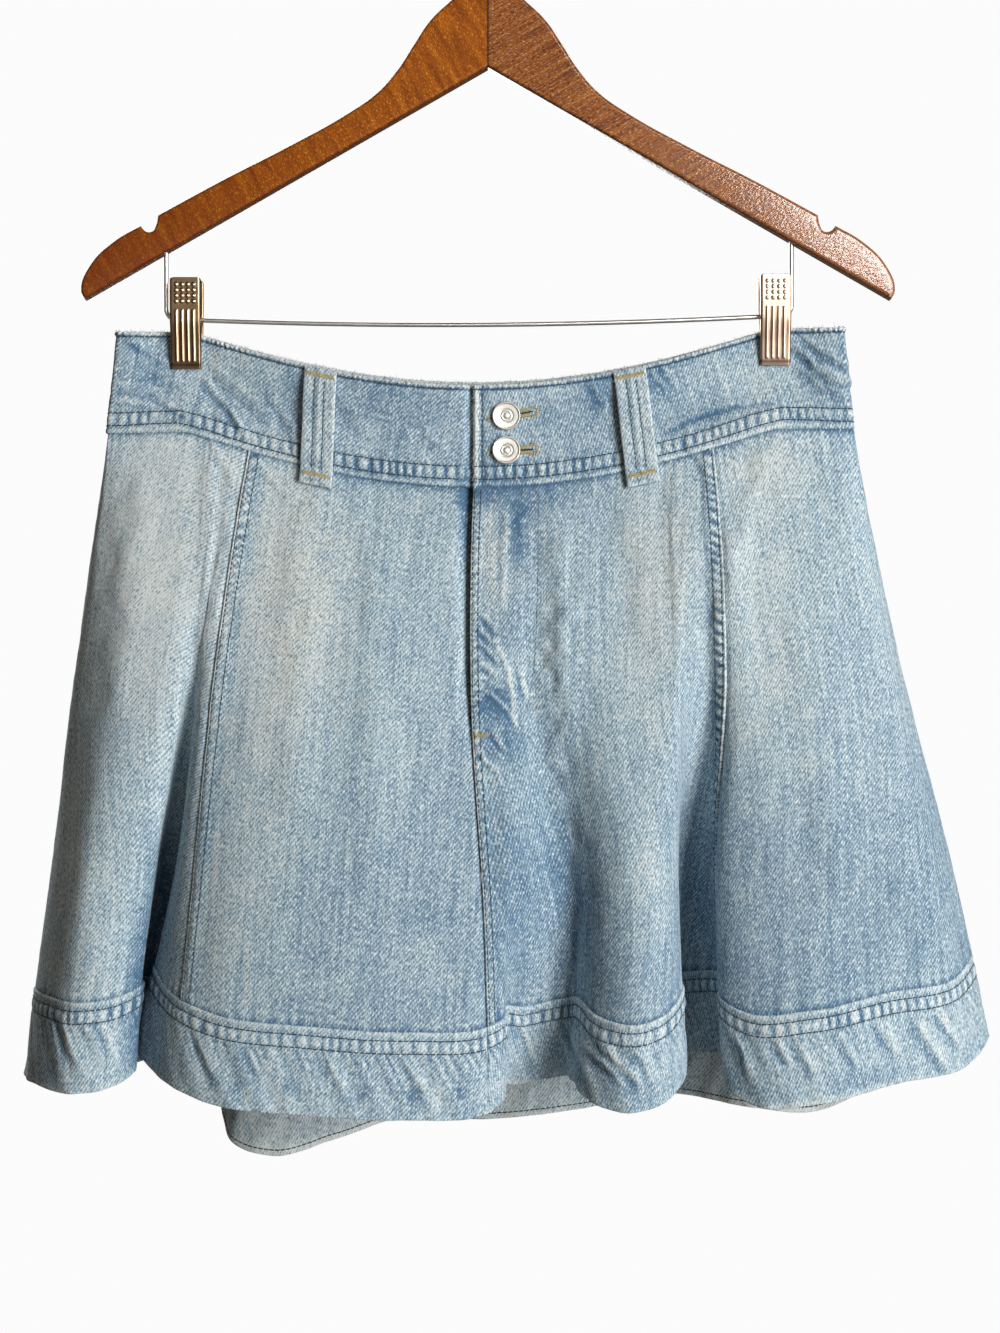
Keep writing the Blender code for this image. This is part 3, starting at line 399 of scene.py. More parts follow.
def shellFaces(rows, columns):  # outer skin, inner skin and the four rims of a grid of points given twice
    count = rows * columns
    index = np.arange(count).reshape(rows, columns)
    a, b, c, d = index[:-1, :-1], index[1:, :-1], index[1:, 1:], index[:-1, 1:]
    t, l, r, u = index[0], index[:, 0], index[:, -1], index[-1]
    skins = [np.stack([a, b, c, d], -1).reshape(-1, 4), np.stack([a, d, c, b], -1).reshape(-1, 4) + count]
    rims = [np.stack([t[:-1], t[1:], t[1:] + count, t[:-1] + count], -1),
            np.stack([u[:-1] + count, u[1:] + count, u[1:], u[:-1]], -1),
            np.stack([l[:-1] + count, l[1:] + count, l[1:], l[:-1]], -1),
            np.stack([r[:-1], r[1:], r[1:] + count, r[:-1] + count], -1)]
    inside = np.concatenate([np.zeros(len(skins[0])), np.ones(len(skins[1])), np.zeros(sum(map(len, rims)))])
    return np.concatenate(skins + rims), inside


def shellFrom(name, outer, inner, uvs=None, washes=None, sided=False):  # sided: two materials
    faces, inside = shellFaces(*outer.shape[:2])
    flat = [np.concatenate([a.reshape(-1, a.shape[-1]) for a in pair]) if pair else None
            for pair in ((outer, inner), uvs, washes)]
    return meshFrom(name, flat[0], faces, flat[1], flat[2], inside if sided else None)


def tubes(paths, radii, normals, sides):  # paths (n, k, 3): n closed threads of k rings each
    count, ringCount, _ = paths.shape
    tangent = unit(np.gradient(paths, axis=1))
    side = unit(np.cross(tangent, normals[:, None, :]))
    up = np.cross(side, tangent)
    angles = math.tau * np.arange(sides) / sides
    ring = (side[:, :, None] * np.cos(angles)[:, None] + up[:, :, None] * np.sin(angles)[:, None])
    vertices = (paths[:, :, None] + ring * radii[:, :, None, None]).reshape(-1, 3)
    index = np.arange(count * ringCount * sides).reshape(count, ringCount, sides)
    a, b = index[:, :-1], index[:, 1:]
    walls = np.stack([a, np.roll(a, -1, 2), np.roll(b, -1, 2), b], -1).reshape(-1, 4).tolist()
    caps = index[:, 0, ::-1].tolist() + index[:, -1].tolist()
    return vertices, walls + caps


def stitchPaths(points, normals, pitch=3.1, length=2.5, lift=0.22, start=0.6):  # along a polyline
    run = runAlong(points)
    stops = np.arange(start, run[-1] - pitch, pitch)
    paths = []
    for share, height in ((0.0, -0.25), (0.2, 0.75), (0.8, 0.75), (1.0, -0.25)):
        at = stops + length * share
        paths.append(readAt(at, run, points) + unit(readAt(at, run, normals)) * lift * height)
    return np.stack(paths, 1), unit(readAt(stops + length / 2, run, normals))


threadSides = 4


class Thread:  # gathers stitches of one colour into one mesh
    def __init__(self, name, material, radius):
        self.name, self.material, self.radius = name, material, radius
        self.paths, self.normals = [], []

    def row(self, points, normals, **how):
        paths, out = stitchPaths(points, normals, **how)
        self.paths.append(paths)
        self.normals.append(out)

    def bites(self, starts, ends, normals, lift=0.3):  # single threads from start to end, bowed outwards
        shares = np.array([0, 0.25, 0.75, 1.0])[None, :, None]
        heights = np.array([-0.3, 1.0, 1.0, -0.3])[None, :, None] * lift
        self.paths.append(starts[:, None] * (1 - shares) + ends[:, None] * shares
                          + normals[:, None] * heights)
        self.normals.append(normals)

    def build(self):
        paths = np.concatenate(self.paths)
        radii = np.full(paths.shape[:2], self.radius)
        radii[:, (0, -1)] *= 0.7
        vertices, faces = tubes(paths, radii, np.concatenate(self.normals), threadSides)
        return dress(meshFrom(self.name, vertices, faces), [self.material])


# Materials

denimLook = dict(
    twillPitch=1.6,  # mm; the real lines are 1.2 mm apart, drawn a little coarser so that they show
    twillAngle=54.0,  # degrees from the weft
    fade=0.5, ink=0.5,
    dark="#4F7DA6", mid="#A2BDCC", light="#DAE4E4", tan="#CCCABB", gap="#486070", weft="#F1F7F7",
)


def washedDenim(name, look):
    # Right-hand twill, indigo warp over a white weft, stone washed: pale with blue left in the hollows.
    material, tree, shader = newMaterial(name, {
        "Roughness": 0.92, "Specular IOR Level": 0.2, "Sheen Weight": 0.12, "Sheen Roughness": 0.6})
    cloth = addNode(tree, "ShaderNodeUVMap", {"uv_map": "cloth"}).outputs[0]
    turn = math.radians(90 - look["twillAngle"])
    lean = addNode(tree, "ShaderNodeMapping", {"Rotation": (0, 0, turn)}, {0: cloth}).outputs[0]
    twill = addNode(tree, "ShaderNodeTexWave", {
        "wave_type": "BANDS", "bands_direction": "X", "Scale": math.tau / 20 / (look["twillPitch"] * mm),
        "Distortion": 1.6, "Detail": 2.0, "Detail Scale": 2.6}, {0: lean}).outputs[1]

    def grain(width, length, detail=2.0):
        scale = (1 / (width * mm), 1 / (length * mm), 1)
        scaled = addNode(tree, "ShaderNodeMapping", {"Scale": scale}, {0: cloth})
        return noise(tree, scaled.outputs[0], 1.0, detail, 0.6)

    yarn, streak, speck = grain(0.75, 1.9), grain(2.4, 60.0), grain(2.0, 2.8)
    blotch, cloud = grain(8.0, 14.0), grain(40.0, 70.0, 1.0)
    # the wash attribute's ink share also holds painted shade
    worn, inkedAndShaded, tanned, *_ = washParts(tree)
    # on the back hem band's inner face the wash attribute's wear share also holds painted light
    fade = sumOf(tree, look["fade"], [(streak, 0.42, 0.5), (blotch, 0.75, 0.5), (cloud, 0.36, 0.5),
                                      (worn, 0.55, 0.0), (inkedAndShaded, -look["ink"], 0.0)])
    colour = mix(tree, tanned, threeTones(tree, fade, look, 0.0, 1.0), linear(look["tan"]))
    # between the yarns it is grey, and the white weft shows through where the warp has worn off
    weave = sumOf(tree, 0.5, [(twill, 0.31, 0.5), (yarn, 1.7, 0.5), (speck, 0.9, 0.5), (streak, 0.4, 0.5),
                              (worn, 0.14, 0.0), (inkedAndShaded, -0.24, 0.0)])
    gap, weft = ranged(tree, weave, 0.5, 0.1, 0.0, 0.8), ranged(tree, weave, 0.5, 0.9, 0.0, 0.9)
    colour = mix(tree, weft, mix(tree, gap, colour, linear(look["gap"])), linear(look["weft"]))
    tree.links.new(colour, shader.inputs["Base Color"])
    addBump(tree, shader, sumOf(tree, 0.5, [(twill, 0.6, 0.5), (yarn, 0.5, 0.5)]), 0.5, 0.25)
    return material


def cottonThread(name, hexCode):
    # Spun cotton topstitching thread, dull, with a faint twist that breaks the colour.
    material, tree, shader = newMaterial(name, {"Roughness": 0.85})
    place = addNode(tree, "ShaderNodeTexCoord").outputs["Object"]
    base = linear(hexCode)
    dark, light = (*[c * 0.55 for c in base[:3]], 1.0), tuple(min(1, c * 1.35) for c in base)
    tree.links.new(mix(tree, noise(tree, place, 900.0, 1.0), dark, light), shader.inputs["Base Color"])
    return material


denim = washedDenim("stone washed denim, right side", denimLook)
reverseLook = dict(denimLook, dark="#7B8B95", mid="#A8B1B4", light="#D2D4CE")
denimBack = washedDenim("stone washed denim, reverse", reverseLook)
seamThread = cottonThread("grey blue cotton thread", "#424F52")
fadedThread = cottonThread("faded blue cotton thread", "#8297A3")
goldThread = cottonThread("olive gold cotton thread", "#CDBB85")
fluff = cottonThread("frayed white weft", "#D9DDDA")
print("denim and thread materials made")


# Cloth pieces

waistLook = dict(edgeRow=2.7, upperRow=45.0, lowerRow=51.9, pucker=5.4, endRow=4.9)
hemLook = dict(upperRow=4.8, lowerRow=11.6, pucker=6.0, lean=0.5, insideRow=3.4, insidePaintedLight=0.4)
waistRound = np.linspace(0, girth, 4001)
waistArc = runAlong(skirtPoint(waistRound, np.full(4001, 0.95)))


# Creases: from (x1, z1) to (x2, z2), a ridge of this height with a hollow on its lower left side. Those with
# alsoBack come again, mirrored, on the back.
creaseTable = tableFrom("""
crease        x1   z1   x2   z2 width height wear  ink alsoBack
clipPull    -197 -264 -174 -279   1.8    0.7  0.1 0.45        1
clipPull2   -190 -276 -168 -290     3    0.5  0.1 0.25        0
endPucker   -203 -291 -178 -294   2.4    0.6  0.2  0.4        1
endPucker2  -203 -299 -186 -300   1.6    0.5  0.4 0.55        0
endPucker3  -181 -297 -163 -307   1.7    0.7  0.4 0.55        1
drag1       -156 -287 -142 -301     2      1  0.3 0.55        1
drag1Low    -142 -301 -131 -318   1.8    1.1  0.3 0.65        1
drag2       -150 -279 -133 -299   3.2    0.6  0.2  0.2        0
drag3       -139 -288 -118 -309     3    0.5  0.2  0.2        0
drag4       -117 -297 -104 -318   2.4    0.6  0.3  0.3        1
drag5        -80 -297  -66 -316     3    0.5  0.1  0.2        1
drag6        -38 -309  -27 -325   2.6    0.5  0.1  0.2        0
loopSide1     88 -281   96 -292   1.6    0.6  0.5  0.3        0
loopSide2     92 -278  103 -291   1.8    0.5  0.4  0.3        1
loopSide3     56 -288   63 -300     2    0.6  0.3  0.4        0
wornBar1      94 -316  115 -306   1.7    0.8  0.1 0.75        1
wornBar2     114 -306  134 -301   1.8    0.8  0.1 0.75        1
wornBar3     133 -301  156 -298   2.2    0.6  0.1 0.45        0
endFold1     166 -266  180 -280   2.6    1.3  0.3 0.55        1
endFold1Low  180 -280  199 -290   2.8    1.5  0.4  0.7        1
endFold2     172 -264  196 -280   2.6    0.9  0.3 0.45        0
endFold3     168 -279  196 -297     3    0.9  0.3 0.35        1
hipValley1   151 -328  143 -355   5.5      1  0.1 0.15        1
hipValley2   143 -355  131 -392   6.5    1.4  0.1 0.15        1
hipValley3   131 -392  126 -425   6.5    1.1  0.1 0.12        1
sideHollow  -135 -340 -143 -400     7    1.3  0.1  0.1        1
sideHollow2 -143 -400 -149 -470     8    1.1  0.1  0.1        1
flyCrest      10 -360    8 -412   1.8    0.6  0.5  0.3        0
flyPucker1    -3 -416    4 -425   1.3      1  0.5    1        0
flyPucker2    -4 -424    2 -432   1.3      1  0.5    1        0
flyPucker3    -3 -431    6 -442   1.5      1  0.5  0.9        0
flyPucker4    -4 -442    4 -449   1.4    0.9  0.5  0.8        0
flyCurl1       4 -430   11 -447   1.3    0.9  1.1 0.45        0
flyCurl2      11 -447   14 -474   1.3    0.9  1.1  0.4        0
flyCurl3       0 -457    9 -465   1.3    0.9  1.1  0.7        0
flyCurl4       9 -465   15 -475   1.3    0.8    1  0.5        0
flyCurl5      17 -444   22 -462   1.3    0.7  0.9  0.4        0
flyLow1        2 -478   10 -489   1.4    0.9  0.9  0.7        0
flyLow2       -4 -490    4 -499   1.4    0.9  0.8  0.6        0
foldTop       38 -372   39 -410   6.5    1.4    0  0.1        0
foldMiddle    39 -410   38 -470     8    2.8    0 0.16        0
foldLow       38 -470   47 -560   7.5    2.6    0 0.16        0
frontSwell1  -98 -350 -105 -520     9    0.8    0    0        1
frontSwell2  -58 -370  -62 -560    11    0.7    0    0        1
frontSwell3   80 -350   90 -440     9    0.9  0.1    0        1
sideSwell1   190 -335  218 -470     8    0.9    0    0        1
sideSwell2   168 -420  186 -560     9    0.8    0    0        1
sideSwell3  -186 -340 -200 -470     8    0.8    0    0        1
seamTug1    -126 -333 -112 -347   2.2    0.6  0.3 0.25        1
seamTug2    -150 -324 -141 -338   2.4    0.7  0.2  0.3        1
seamTug3     108 -324  120 -338     2    0.6  0.3  0.3        1
hemTug1      152 -640  160 -653   2.2    1.1  0.5  0.6        1
hemTug2      164 -640  172 -659   2.4    1.2  0.5  0.6        0
hemTug3      186 -637  195 -653   2.2    0.9  0.4  0.5        1
hemTug4      207 -634  218 -650   2.2    0.9  0.4  0.5        0
hemTug5      229 -633  248 -662   2.4    1.1  0.5  0.6        1
hemTug6      240 -628  253 -647   2.2    1.1  0.5  0.6        0
hemTug7      133 -640  140 -659   2.2      1  0.4  0.5        1
hemTug8       54 -644   71 -662   2.4    1.2  0.5  0.6        1
hemTug9       60 -641   81 -664   2.6    1.2  0.5  0.6        0
hemTug10      46 -640   56 -664   2.2    0.9  0.4  0.5        1
hemTug11      80 -646   88 -664   2.4    0.9  0.4  0.5        0
hemTug12      17 -636   26 -660     2    0.8  0.5  0.4        0
hemTug13    -125 -644 -118 -660   2.2    0.7  0.4  0.5        1
hemTug14    -152 -641 -143 -658   2.2    0.9  0.4  0.5        1
hemTug15     -83 -650  -74 -667   2.2    0.6  0.4  0.4        0
hemTug16     -41 -652  -32 -669   2.2    0.6  0.4  0.4        1
hemTug17    -227 -630 -219 -652   2.2    0.8  0.4 0.45        1
hemTug18    -206 -631 -198 -652   2.2    0.8  0.4 0.45        0
""")


# Washed patches: middle, reach across and down, and how worn, blue or tan the cloth is there; some of the
# blue is painted shade
# Painted shade: gapRight, gapRightLow and gapRightHem in the deep fold on the right front, foldShade in the
# fold on the left front, flyWedge and flyWedgeLow beside the fly's edge, and outerLeftLow on the lower left
# flare
washTable = tableFrom("""
patch            x    z  rx rz wear  ink  tan alsoBack
hipRight      -104 -400  22 62 0.34    0 0.42        1
hipRightLow   -118 -500  20 70 0.25    0 0.14        1
sideRight     -178 -385  26 62  0.5    0 0.14        1
hipLeft         93 -385  19 42 0.14    0 0.34        1
hipLeftLow      84 -450  22 60  0.2    0  0.1        0
sideLeft       148 -425  22 88 0.26    0  0.2        1
sideLeftTop    150 -338  22 20 0.22    0 0.22        0
valleyRight   -146 -575  20 40 0.26    0  0.1        1
outerLeft      205 -480  22 60 0.14    0 0.04        1
outerLeftLow   196 -575  34 60    0 0.08 0.06        0
lobe            82 -560  15 50 0.28    0 0.04        0
shelf           14 -560  12 60    0 0.25    0        0
outerRight    -215 -560  26 70  0.2    0    0        0
gapRight      -178 -562   5 24    0  0.7    0        0
gapRightLow   -185 -604   6 30    0  0.9    0        0
gapRightHem   -189 -642   6 18    0  0.8    0        0
foldShade       43 -560   7 60    0 0.34    0        0
frontMiddle    -56 -480  30 80  0.1    0    0        1
frontLow       -60 -600  60 30 0.12    0 0.05        1
flyBlue         16 -369   7 20    0  0.9    0        0
flyTop          -1 -350  11  7    0  0.9    0        0
flyTan           2 -388 5.5 29  0.1    0  0.4        0
flyWedge       -13 -352   4 16    0  0.8    0        0
flyWedgeLow    -12 -378 2.6 16    0  0.5    0        0
flyMid           8 -425  12 16    0  0.4    0        0
flyLow           4 -463   9 11    0    1    0        0
flyLow2          9 -486  10 10    0  0.5    0        0
flyPale          2 -447   6  7 0.25    0  0.1        0
waistUnder      36 -350  30 11    0 0.35    0        0
waistUnder2    -55 -344  45  8    0  0.2    0        1
bandEndRight  -186 -289  12  7    0  0.5    0        1
bandTopRight  -192 -270  10  5    0 0.25    0        1
bandDrag      -122 -300  12 12    0 0.22    0        1
bandLoopLeft  -106 -294   6 18    0 0.45    0        1
bandMidRight   -50 -305  26 12    0 0.28    0        1
bandLoopIn      60 -296   8 16    0 0.55    0        1
bandLoopOut     92 -286   8 12    0 0.55    0        0
bandWorn       118 -308  22  8    0 0.28    0        1
bandPale       140 -285  18  8 0.22    0  0.1        1
bandPaleRight -152 -280  14  8 0.12    0 0.05        0
lozenge1      -144 -661   4  5    0 0.55    0        1
lozenge2      -130 -663   3  5    0 0.45    0        0
lozenge3      -104 -664   4  5    0 0.55    0        1
lozenge4       -64 -667   4  4    0  0.5    0        1
lozenge5       -40 -668   4  4    0  0.5    0        0
lozenge6       -14 -668   3  5    0  0.5    0        0
""")


def placedOn(piece, table):  # each row of a table with the piece's x and z, mirrored for the back
    x, z = piece["point"][..., 0], piece["point"][..., 2]
    back = isBack(piece["place"].mean())
    for row in table:
        if not back:
            yield row, x, z
        elif row["alsoBack"]:
            yield row, 2 * form["waistMiddle"] - x, z + 8


def creasesOn(piece):
    bend, wear, ink = 0 * piece["drop"], 0 * piece["drop"], 0 * piece["drop"]
    for row, x, z in placedOn(piece, creaseTable):
        ux, uz = row["x2"] - row["x1"], row["z2"] - row["z1"]
        length = math.hypot(ux, uz)
        ux, uz = ux / length, uz / length
        wobble = 0.5 * row["width"] * mottle(x, z, 9, row["x1"])
        along = (x - row["x1"]) * ux + (z - row["z1"]) * uz
        aside = (x - row["x1"]) * -uz + (z - row["z1"]) * ux + wobble
        soft = min(6.0, length * 0.3)
        hold = rise(-soft, soft, along) * (1 - rise(length - soft, length + soft, along))
        crest = bell(aside, 0, row["width"]) * hold
        hollow = bell(aside, -1.5 * row["width"], row["width"]) * hold
        bend = bend + row["height"] * (crest - 0.7 * hollow)
        wear, ink = wear + row["wear"] * crest, ink + row["ink"] * hollow
    return bend, wear, ink


def washOn(piece):
    wear, ink, tan = 0 * piece["drop"], 0 * piece["drop"], 0 * piece["drop"]
    for row, x, z in placedOn(piece, washTable):
        torn = 1 + 0.45 * mottle(x, z, max(3.0, row["rx"] * 0.45), row["z"])
        spread = np.exp(-((x - row["x"]) / row["rx"]) ** 2 - ((z - row["z"]) / row["rz"]) ** 2) * torn
        wear, ink, tan = wear + row["wear"] * spread, ink + row["ink"] * spread, tan + row["tan"] * spread
    return wear, ink, tan


def bandRelief(piece):  # (bend of both faces, raise of the outer face, wash) of the waistband
    s = np.interp(piece["place"], waistRound, waistArc)
    d = piece["drop"]
    look = waistLook
    crest = ruck(s, look["pucker"], 1.0)
    rung = np.maximum(-crest, 0) ** 1.4
    fine, rag = ruck(s, 4.4, 2.2), ruck(s, 3.0, 4.7)
    between = bell(d, (look["upperRow"] + look["lowerRow"]) / 2, 3.4)
    above = rise(30, look["upperRow"], d) * (d < look["upperRow"])
    chain = bell(d, look["edgeRow"] + 0.35 * fine, 0.7)
    bend = (0.4 * mottle(s, d, 24, 1) + 0.25 * mottle(s, d, 9, 2) + 0.3 * ruck(s, 10.5, 0.4) * above
            + 0.35 * fine * bell(d, 0, 3.0))
    outer = (-0.5 * chain + (0.6 + 0.7 * rag) * bell(d, 1.0, 1.5)
             - 0.4 * bell(d, look["upperRow"], 0.8) - 0.4 * bell(d, look["lowerRow"], 0.8)
             + (0.3 - 0.9 * rung + 0.35 * crest) * between + 0.22 * bell(d, 54.6, 1.0))
    wear = (1.3 * bell(d, 0.2, 1.9) * (0.65 + 0.35 * rag) + (0.3 + 0.6 * crest) * between
            + (0.6 + 0.4 * fine) * bell(d, 54.8, 0.9))
    ink = (1.8 * rung * between + (1.2 + 0.5 * rag) * chain + 0.35 * bell(d, look["upperRow"], 1.0)
           + 0.35 * bell(d, look["lowerRow"], 0.9) + 0.06 + 0.3 * np.maximum(0, mottle(s, d, 18, 4)))
    if piece["name"].startswith("waistFrontLeft"):  # the overlap's worn end, a line of stitches inside it
        edge, rope = piece["fromStart"], ruck(d, 2.9, 6.0)
        outer = outer + (0.8 + 0.9 * rope) * bell(edge, 1.4, 1.5) - 0.5 * bell(edge, look["endRow"], 0.9)
        wear = wear + (1.2 + 1.0 * rope) * bell(edge, 1.2, 2.2)
        ink = ink + 0.7 * bell(edge, look["endRow"], 0.8) + 0.6 * bell(edge, 3.4, 0.6)
        return bend, outer, wear, ink, 0.35 * bell(edge, 0.8, 1.8)
    return bend, outer, wear, ink, 0.2 * bell(d, 0, 1.8)


def bodyRelief(piece):
    s, d, low = piece["place"], piece["drop"], piece["height"] - piece["drop"]
    crest, tug = ruck(s, 7.5, 1.7), ruck(s * 0.6, 7.0, 0.9)
    bend = (0.55 * mottle(s, d * 0.4, 30, 5) + 0.25 * mottle(s, d * 0.5, 11, 6) + 0.12 * mottle(s, d, 5, 16)
            + 0.35 * tug * np.exp(-d / 9) + 0.45 * crest * np.exp(-low / 9))
    outer = 0.22 * (0.5 + 0.5 * crest) * bell(low, 3.4, 1.6)
    wear = ((0.12 + 0.24 * crest) * bell(low, 3.0, 1.8) + 0.3 * np.maximum(crest, 0) * np.exp(-low / 8)
            + 0.25 * bell(d, 4.0, 3.0) * np.maximum(0, tug) + 0.3 * (1 - rise(120, 330, s)))
    # the dark band at the top, just below the waistband's edge, is painted shade
    ink = (0.45 * bell(low, 0.6, 1.4) + 1.1 * np.exp(-d / 1.5)
           + 0.35 * np.maximum(-crest, 0) * np.exp(-low / 10) + 0.28 * rise(60, 260, d))
    return bend, outer, wear, ink, 0 * d


def hemRelief(piece):
    s, d = piece["place"], piece["drop"]
    look = hemLook
    upper, lower = look["upperRow"], look["lowerRow"]
    crest = ruck(s, look["pucker"], 3.0)
    rung = np.maximum(-crest, 0) ** 1.4
    slant = s - look["lean"] * (d - lower)
    rope, wide, fine = ruck(slant, 5.8, 3.4), ruck(slant * 0.97, 15.0, 5.1), ruck(slant * 1.04, 3.8, 8.1)
    gather = 0.6 + 0.4 * mottle(s, 0 * s, 48, 11)  # some stretches are drawn up harder than others
    reach = 13 + 10 * mottle(s, 0 * s, 7, 12)  # and the puckers run down by different lengths
    between = bell(d, (upper + lower) / 2, 3.4)
    under = rise(lower, lower + 2.5, d)
    below = under * np.exp(-((d - lower) / reach) ** 2)
    bend = (0.45 * mottle(s, d, 26, 7) + 0.75 * wide * gather * under
            + 0.3 * ruck(s, 14.0, 7.7) * bell(d, 49, 9))
    outer = (0.25 * bell(d, 1.2, 1.2) - 0.5 * bell(d, upper, 0.9) - 0.5 * bell(d, lower, 0.9)
             + (0.3 - 0.8 * rung + 0.3 * crest) * between + 0.55 * rope * below * gather + 0.3 * fine * below
             + (0.2 + 0.2 * fine) * bell(d, 47.5, 2.0))
    wear = (rise(45.5, 50, d) * (0.7 + 0.4 * ruck(s, 3.7, 1.1)) + (0.3 + 0.75 * crest) * between
            + (0.45 * np.maximum(rope, 0) * gather + 0.35 * np.maximum(fine, 0)) * below
            + (0.35 + 0.3 * crest) * bell(d, 1.0, 1.2))
    ink = (1.7 * rung * between + (0.8 * np.maximum(-rope, 0) * gather + 0.5 * np.maximum(-fine, 0)) * below
           + 0.3 * bell(d, upper, 1.1) + 0.3 * bell(d, lower, 1.1)
           + 0.3 * np.maximum(0, mottle(s, d, 14, 13)) * rise(30, 40, d) * (1 - rise(44, 47, d)))
    return bend, outer, wear, ink, 0.12 * rise(44, 50, d)


seamSteps = np.array([0, 0.15, 0.5, 1.0, 1.7, 2.6, 3.6, 4.7, 5.9, 7.2, 8.6])  # finer columns beside a seam
seamReach = 10


def gridOf(start, end, top, low, columnPitch, rowPitch, edgeSteps):  # places and levels of a piece's points
    count = max(2, round((end - start - 2 * seamReach) / columnPitch))
    inner = np.linspace(start + seamReach, end - seamReach, count)
    places = np.concatenate([start + seamSteps, inner, (end - seamSteps)[::-1]])
    drop = (low - top) * (form["waistbandHeight"] if low <= 1 else form["bodyLength"])
    inset = edgeSteps[-1] + rowPitch / 2
    inner = np.linspace(inset, drop - inset, max(2, round(drop / rowPitch)))
    rows = np.concatenate([edgeSteps, inner, drop - np.array(edgeSteps)[::-1]]) / drop
    return np.meshgrid(places, top + (low - top) * rows)


def flatCoordinates(around, drop, turn):  # the cloth laid flat: a ring sector turned to its grain
    width, height = around[:, -1], drop[-1].mean()
    grow = (width[-1] - width[0]) / height
    middle = around - width[:, None] / 2
    if abs(grow) < 0.02:  # a straight band
        return turned(np.stack([middle, -drop], -1), turn)
    radius = width.mean() / grow + (drop - height / 2)
    angle = middle / radius
    return turned(np.stack([radius * np.sin(angle), -radius * np.cos(angle)], -1), turn)


def sewnPiece(name, node, place, level, wall, relief, turn, lap, trim, setIn):
    # trim is taken off top, bottom, start and end; lap gives extra heights near the start and end seams
    point, across, down, out = skirtFrame(place, level)
    around, drop = runAlong(point.swapaxes(0, 1)).T, runAlong(point)
    piece = dict(name=name, place=place, around=around, drop=drop, height=drop[-1:],
                 fromStart=around, fromEnd=around[:, -1:] - around, point=point)
    bend, raised, wear, ink, tan = relief(piece)
    fold, crests, hollows = creasesOn(piece)
    worn, blue, stained = washOn(piece)
    bend, wear, ink, tan = bend + fold, wear + crests + worn, ink + hollows + blue, tan + stained
    if lap is not None:
        extra, extraWear, extraInk = lap(piece)
        raised, wear, ink = raised + extra, wear + extraWear, ink + extraInk
    point = point.copy()
    point[0] += down[0] * trim[0]
    point[-1] -= down[-1] * trim[1]
    point[:, 0] += across[:, 0] * trim[2]
    point[:, -1] -= across[:, -1] * trim[3]
    point -= out * setIn(piece)[..., None]
    gap = np.minimum.reduce([piece["fromStart"], piece["fromEnd"], drop, piece["height"] - drop])
    edge = np.minimum(1, gap / (wall / 2))
    roll = 0.3 + 0.7 * np.sqrt(1 - (1 - edge) ** 2)
    outer = point + out * (wall / 2 * roll + bend + raised * np.minimum(1, 0.3 + edge))[..., None]
    inner = point + out * (-wall / 2 * roll + bend)[..., None]
    doubled = wall > 2  # its inner layer shows the right side of the cloth too, mirrored; on the back hem band it is paler, painted light
    uv = flatCoordinates(around, drop, turn)
    washes = np.clip(np.stack([wear, ink, tan, np.ones_like(wear)], -1), 0, 1.5)
    # painted light: the inner face of the back hem band, which shows below the front hem in its shadow, is
    # made paler
    hidden = washes + np.array([hemLook["insidePaintedLight"] if name.startswith("hemBack") else 0, 0, 0, 0])
    obj = shellFrom(name, outer, inner, (uv, uv * (-1 if doubled else 1, 1)), (washes, hidden), sided=True)
    dress(obj, [denim, denim if doubled else denimBack], node)
    normal = unit(np.cross(np.gradient(outer, axis=0), np.gradient(outer, axis=1)))
    piece.update(obj=obj, outer=outer, inner=inner, normal=normal)
    return piece


def rowAcross(piece, drop, face="outer"):  # polyline across a piece, this far below its top or by column
    drops = np.broadcast_to(drop, piece["drop"].shape[1:])
    rows = np.arange(len(piece["drop"]))
    where = [np.interp(drops[c], piece["drop"][:, c], rows) for c in range(len(drops))]
    low = np.clip(np.floor(where).astype(int), 0, len(rows) - 2)
    share = (np.array(where) - low)[:, None]
    columns = np.arange(len(low))
    points = piece[face][low, columns] * (1 - share) + piece[face][low + 1, columns] * share
    return points, piece["normal"][low, columns] * (1 if face == "outer" else -1)


def rowDown(piece, gap, side, top, low):  # polyline down a piece at one distance from its start or end seam
    points, normals = [], []
    for r in np.where((piece["drop"][:, 0] >= top) & (piece["drop"][:, 0] <= low))[0]:
        reach = piece["around"][r]
        at = gap if side == "start" else reach[-1] - gap
        points.append(readAt(at, reach, piece["outer"][r]))
        normals.append(readAt(at, reach, piece["normal"][r]))
    return np.array(points), unit(np.array(normals))


def pinTo(piece, xs, zs):  # points of a piece's face at these x and z
    flat = piece["outer"].reshape(-1, 3)
    outs = piece["normal"].reshape(-1, 3)
    points, normals = [], []
    for x, z in zip(xs, zs):
        i = ((flat[:, 0] - x) ** 2 + (flat[:, 2] - z) ** 2).argmin()
        n = outs[i]
        dx, dz = x - flat[i, 0], z - flat[i, 2]
        y = flat[i, 1] - (n[0] * dx + n[2] * dz) / (n[1] if abs(n[1]) > 0.2 else -1)
        points.append((x, y, z))
        normals.append(n)
    return np.array(points), np.array(normals)


felled = dict(width=7.4, height=0.75, rows=(1.6, 6.2), blue=1.0, reach=210)
flyEdge = dict(width=5.6, height=0.95, rows=(1.2, 4.4), blue=0.4, reach=150)


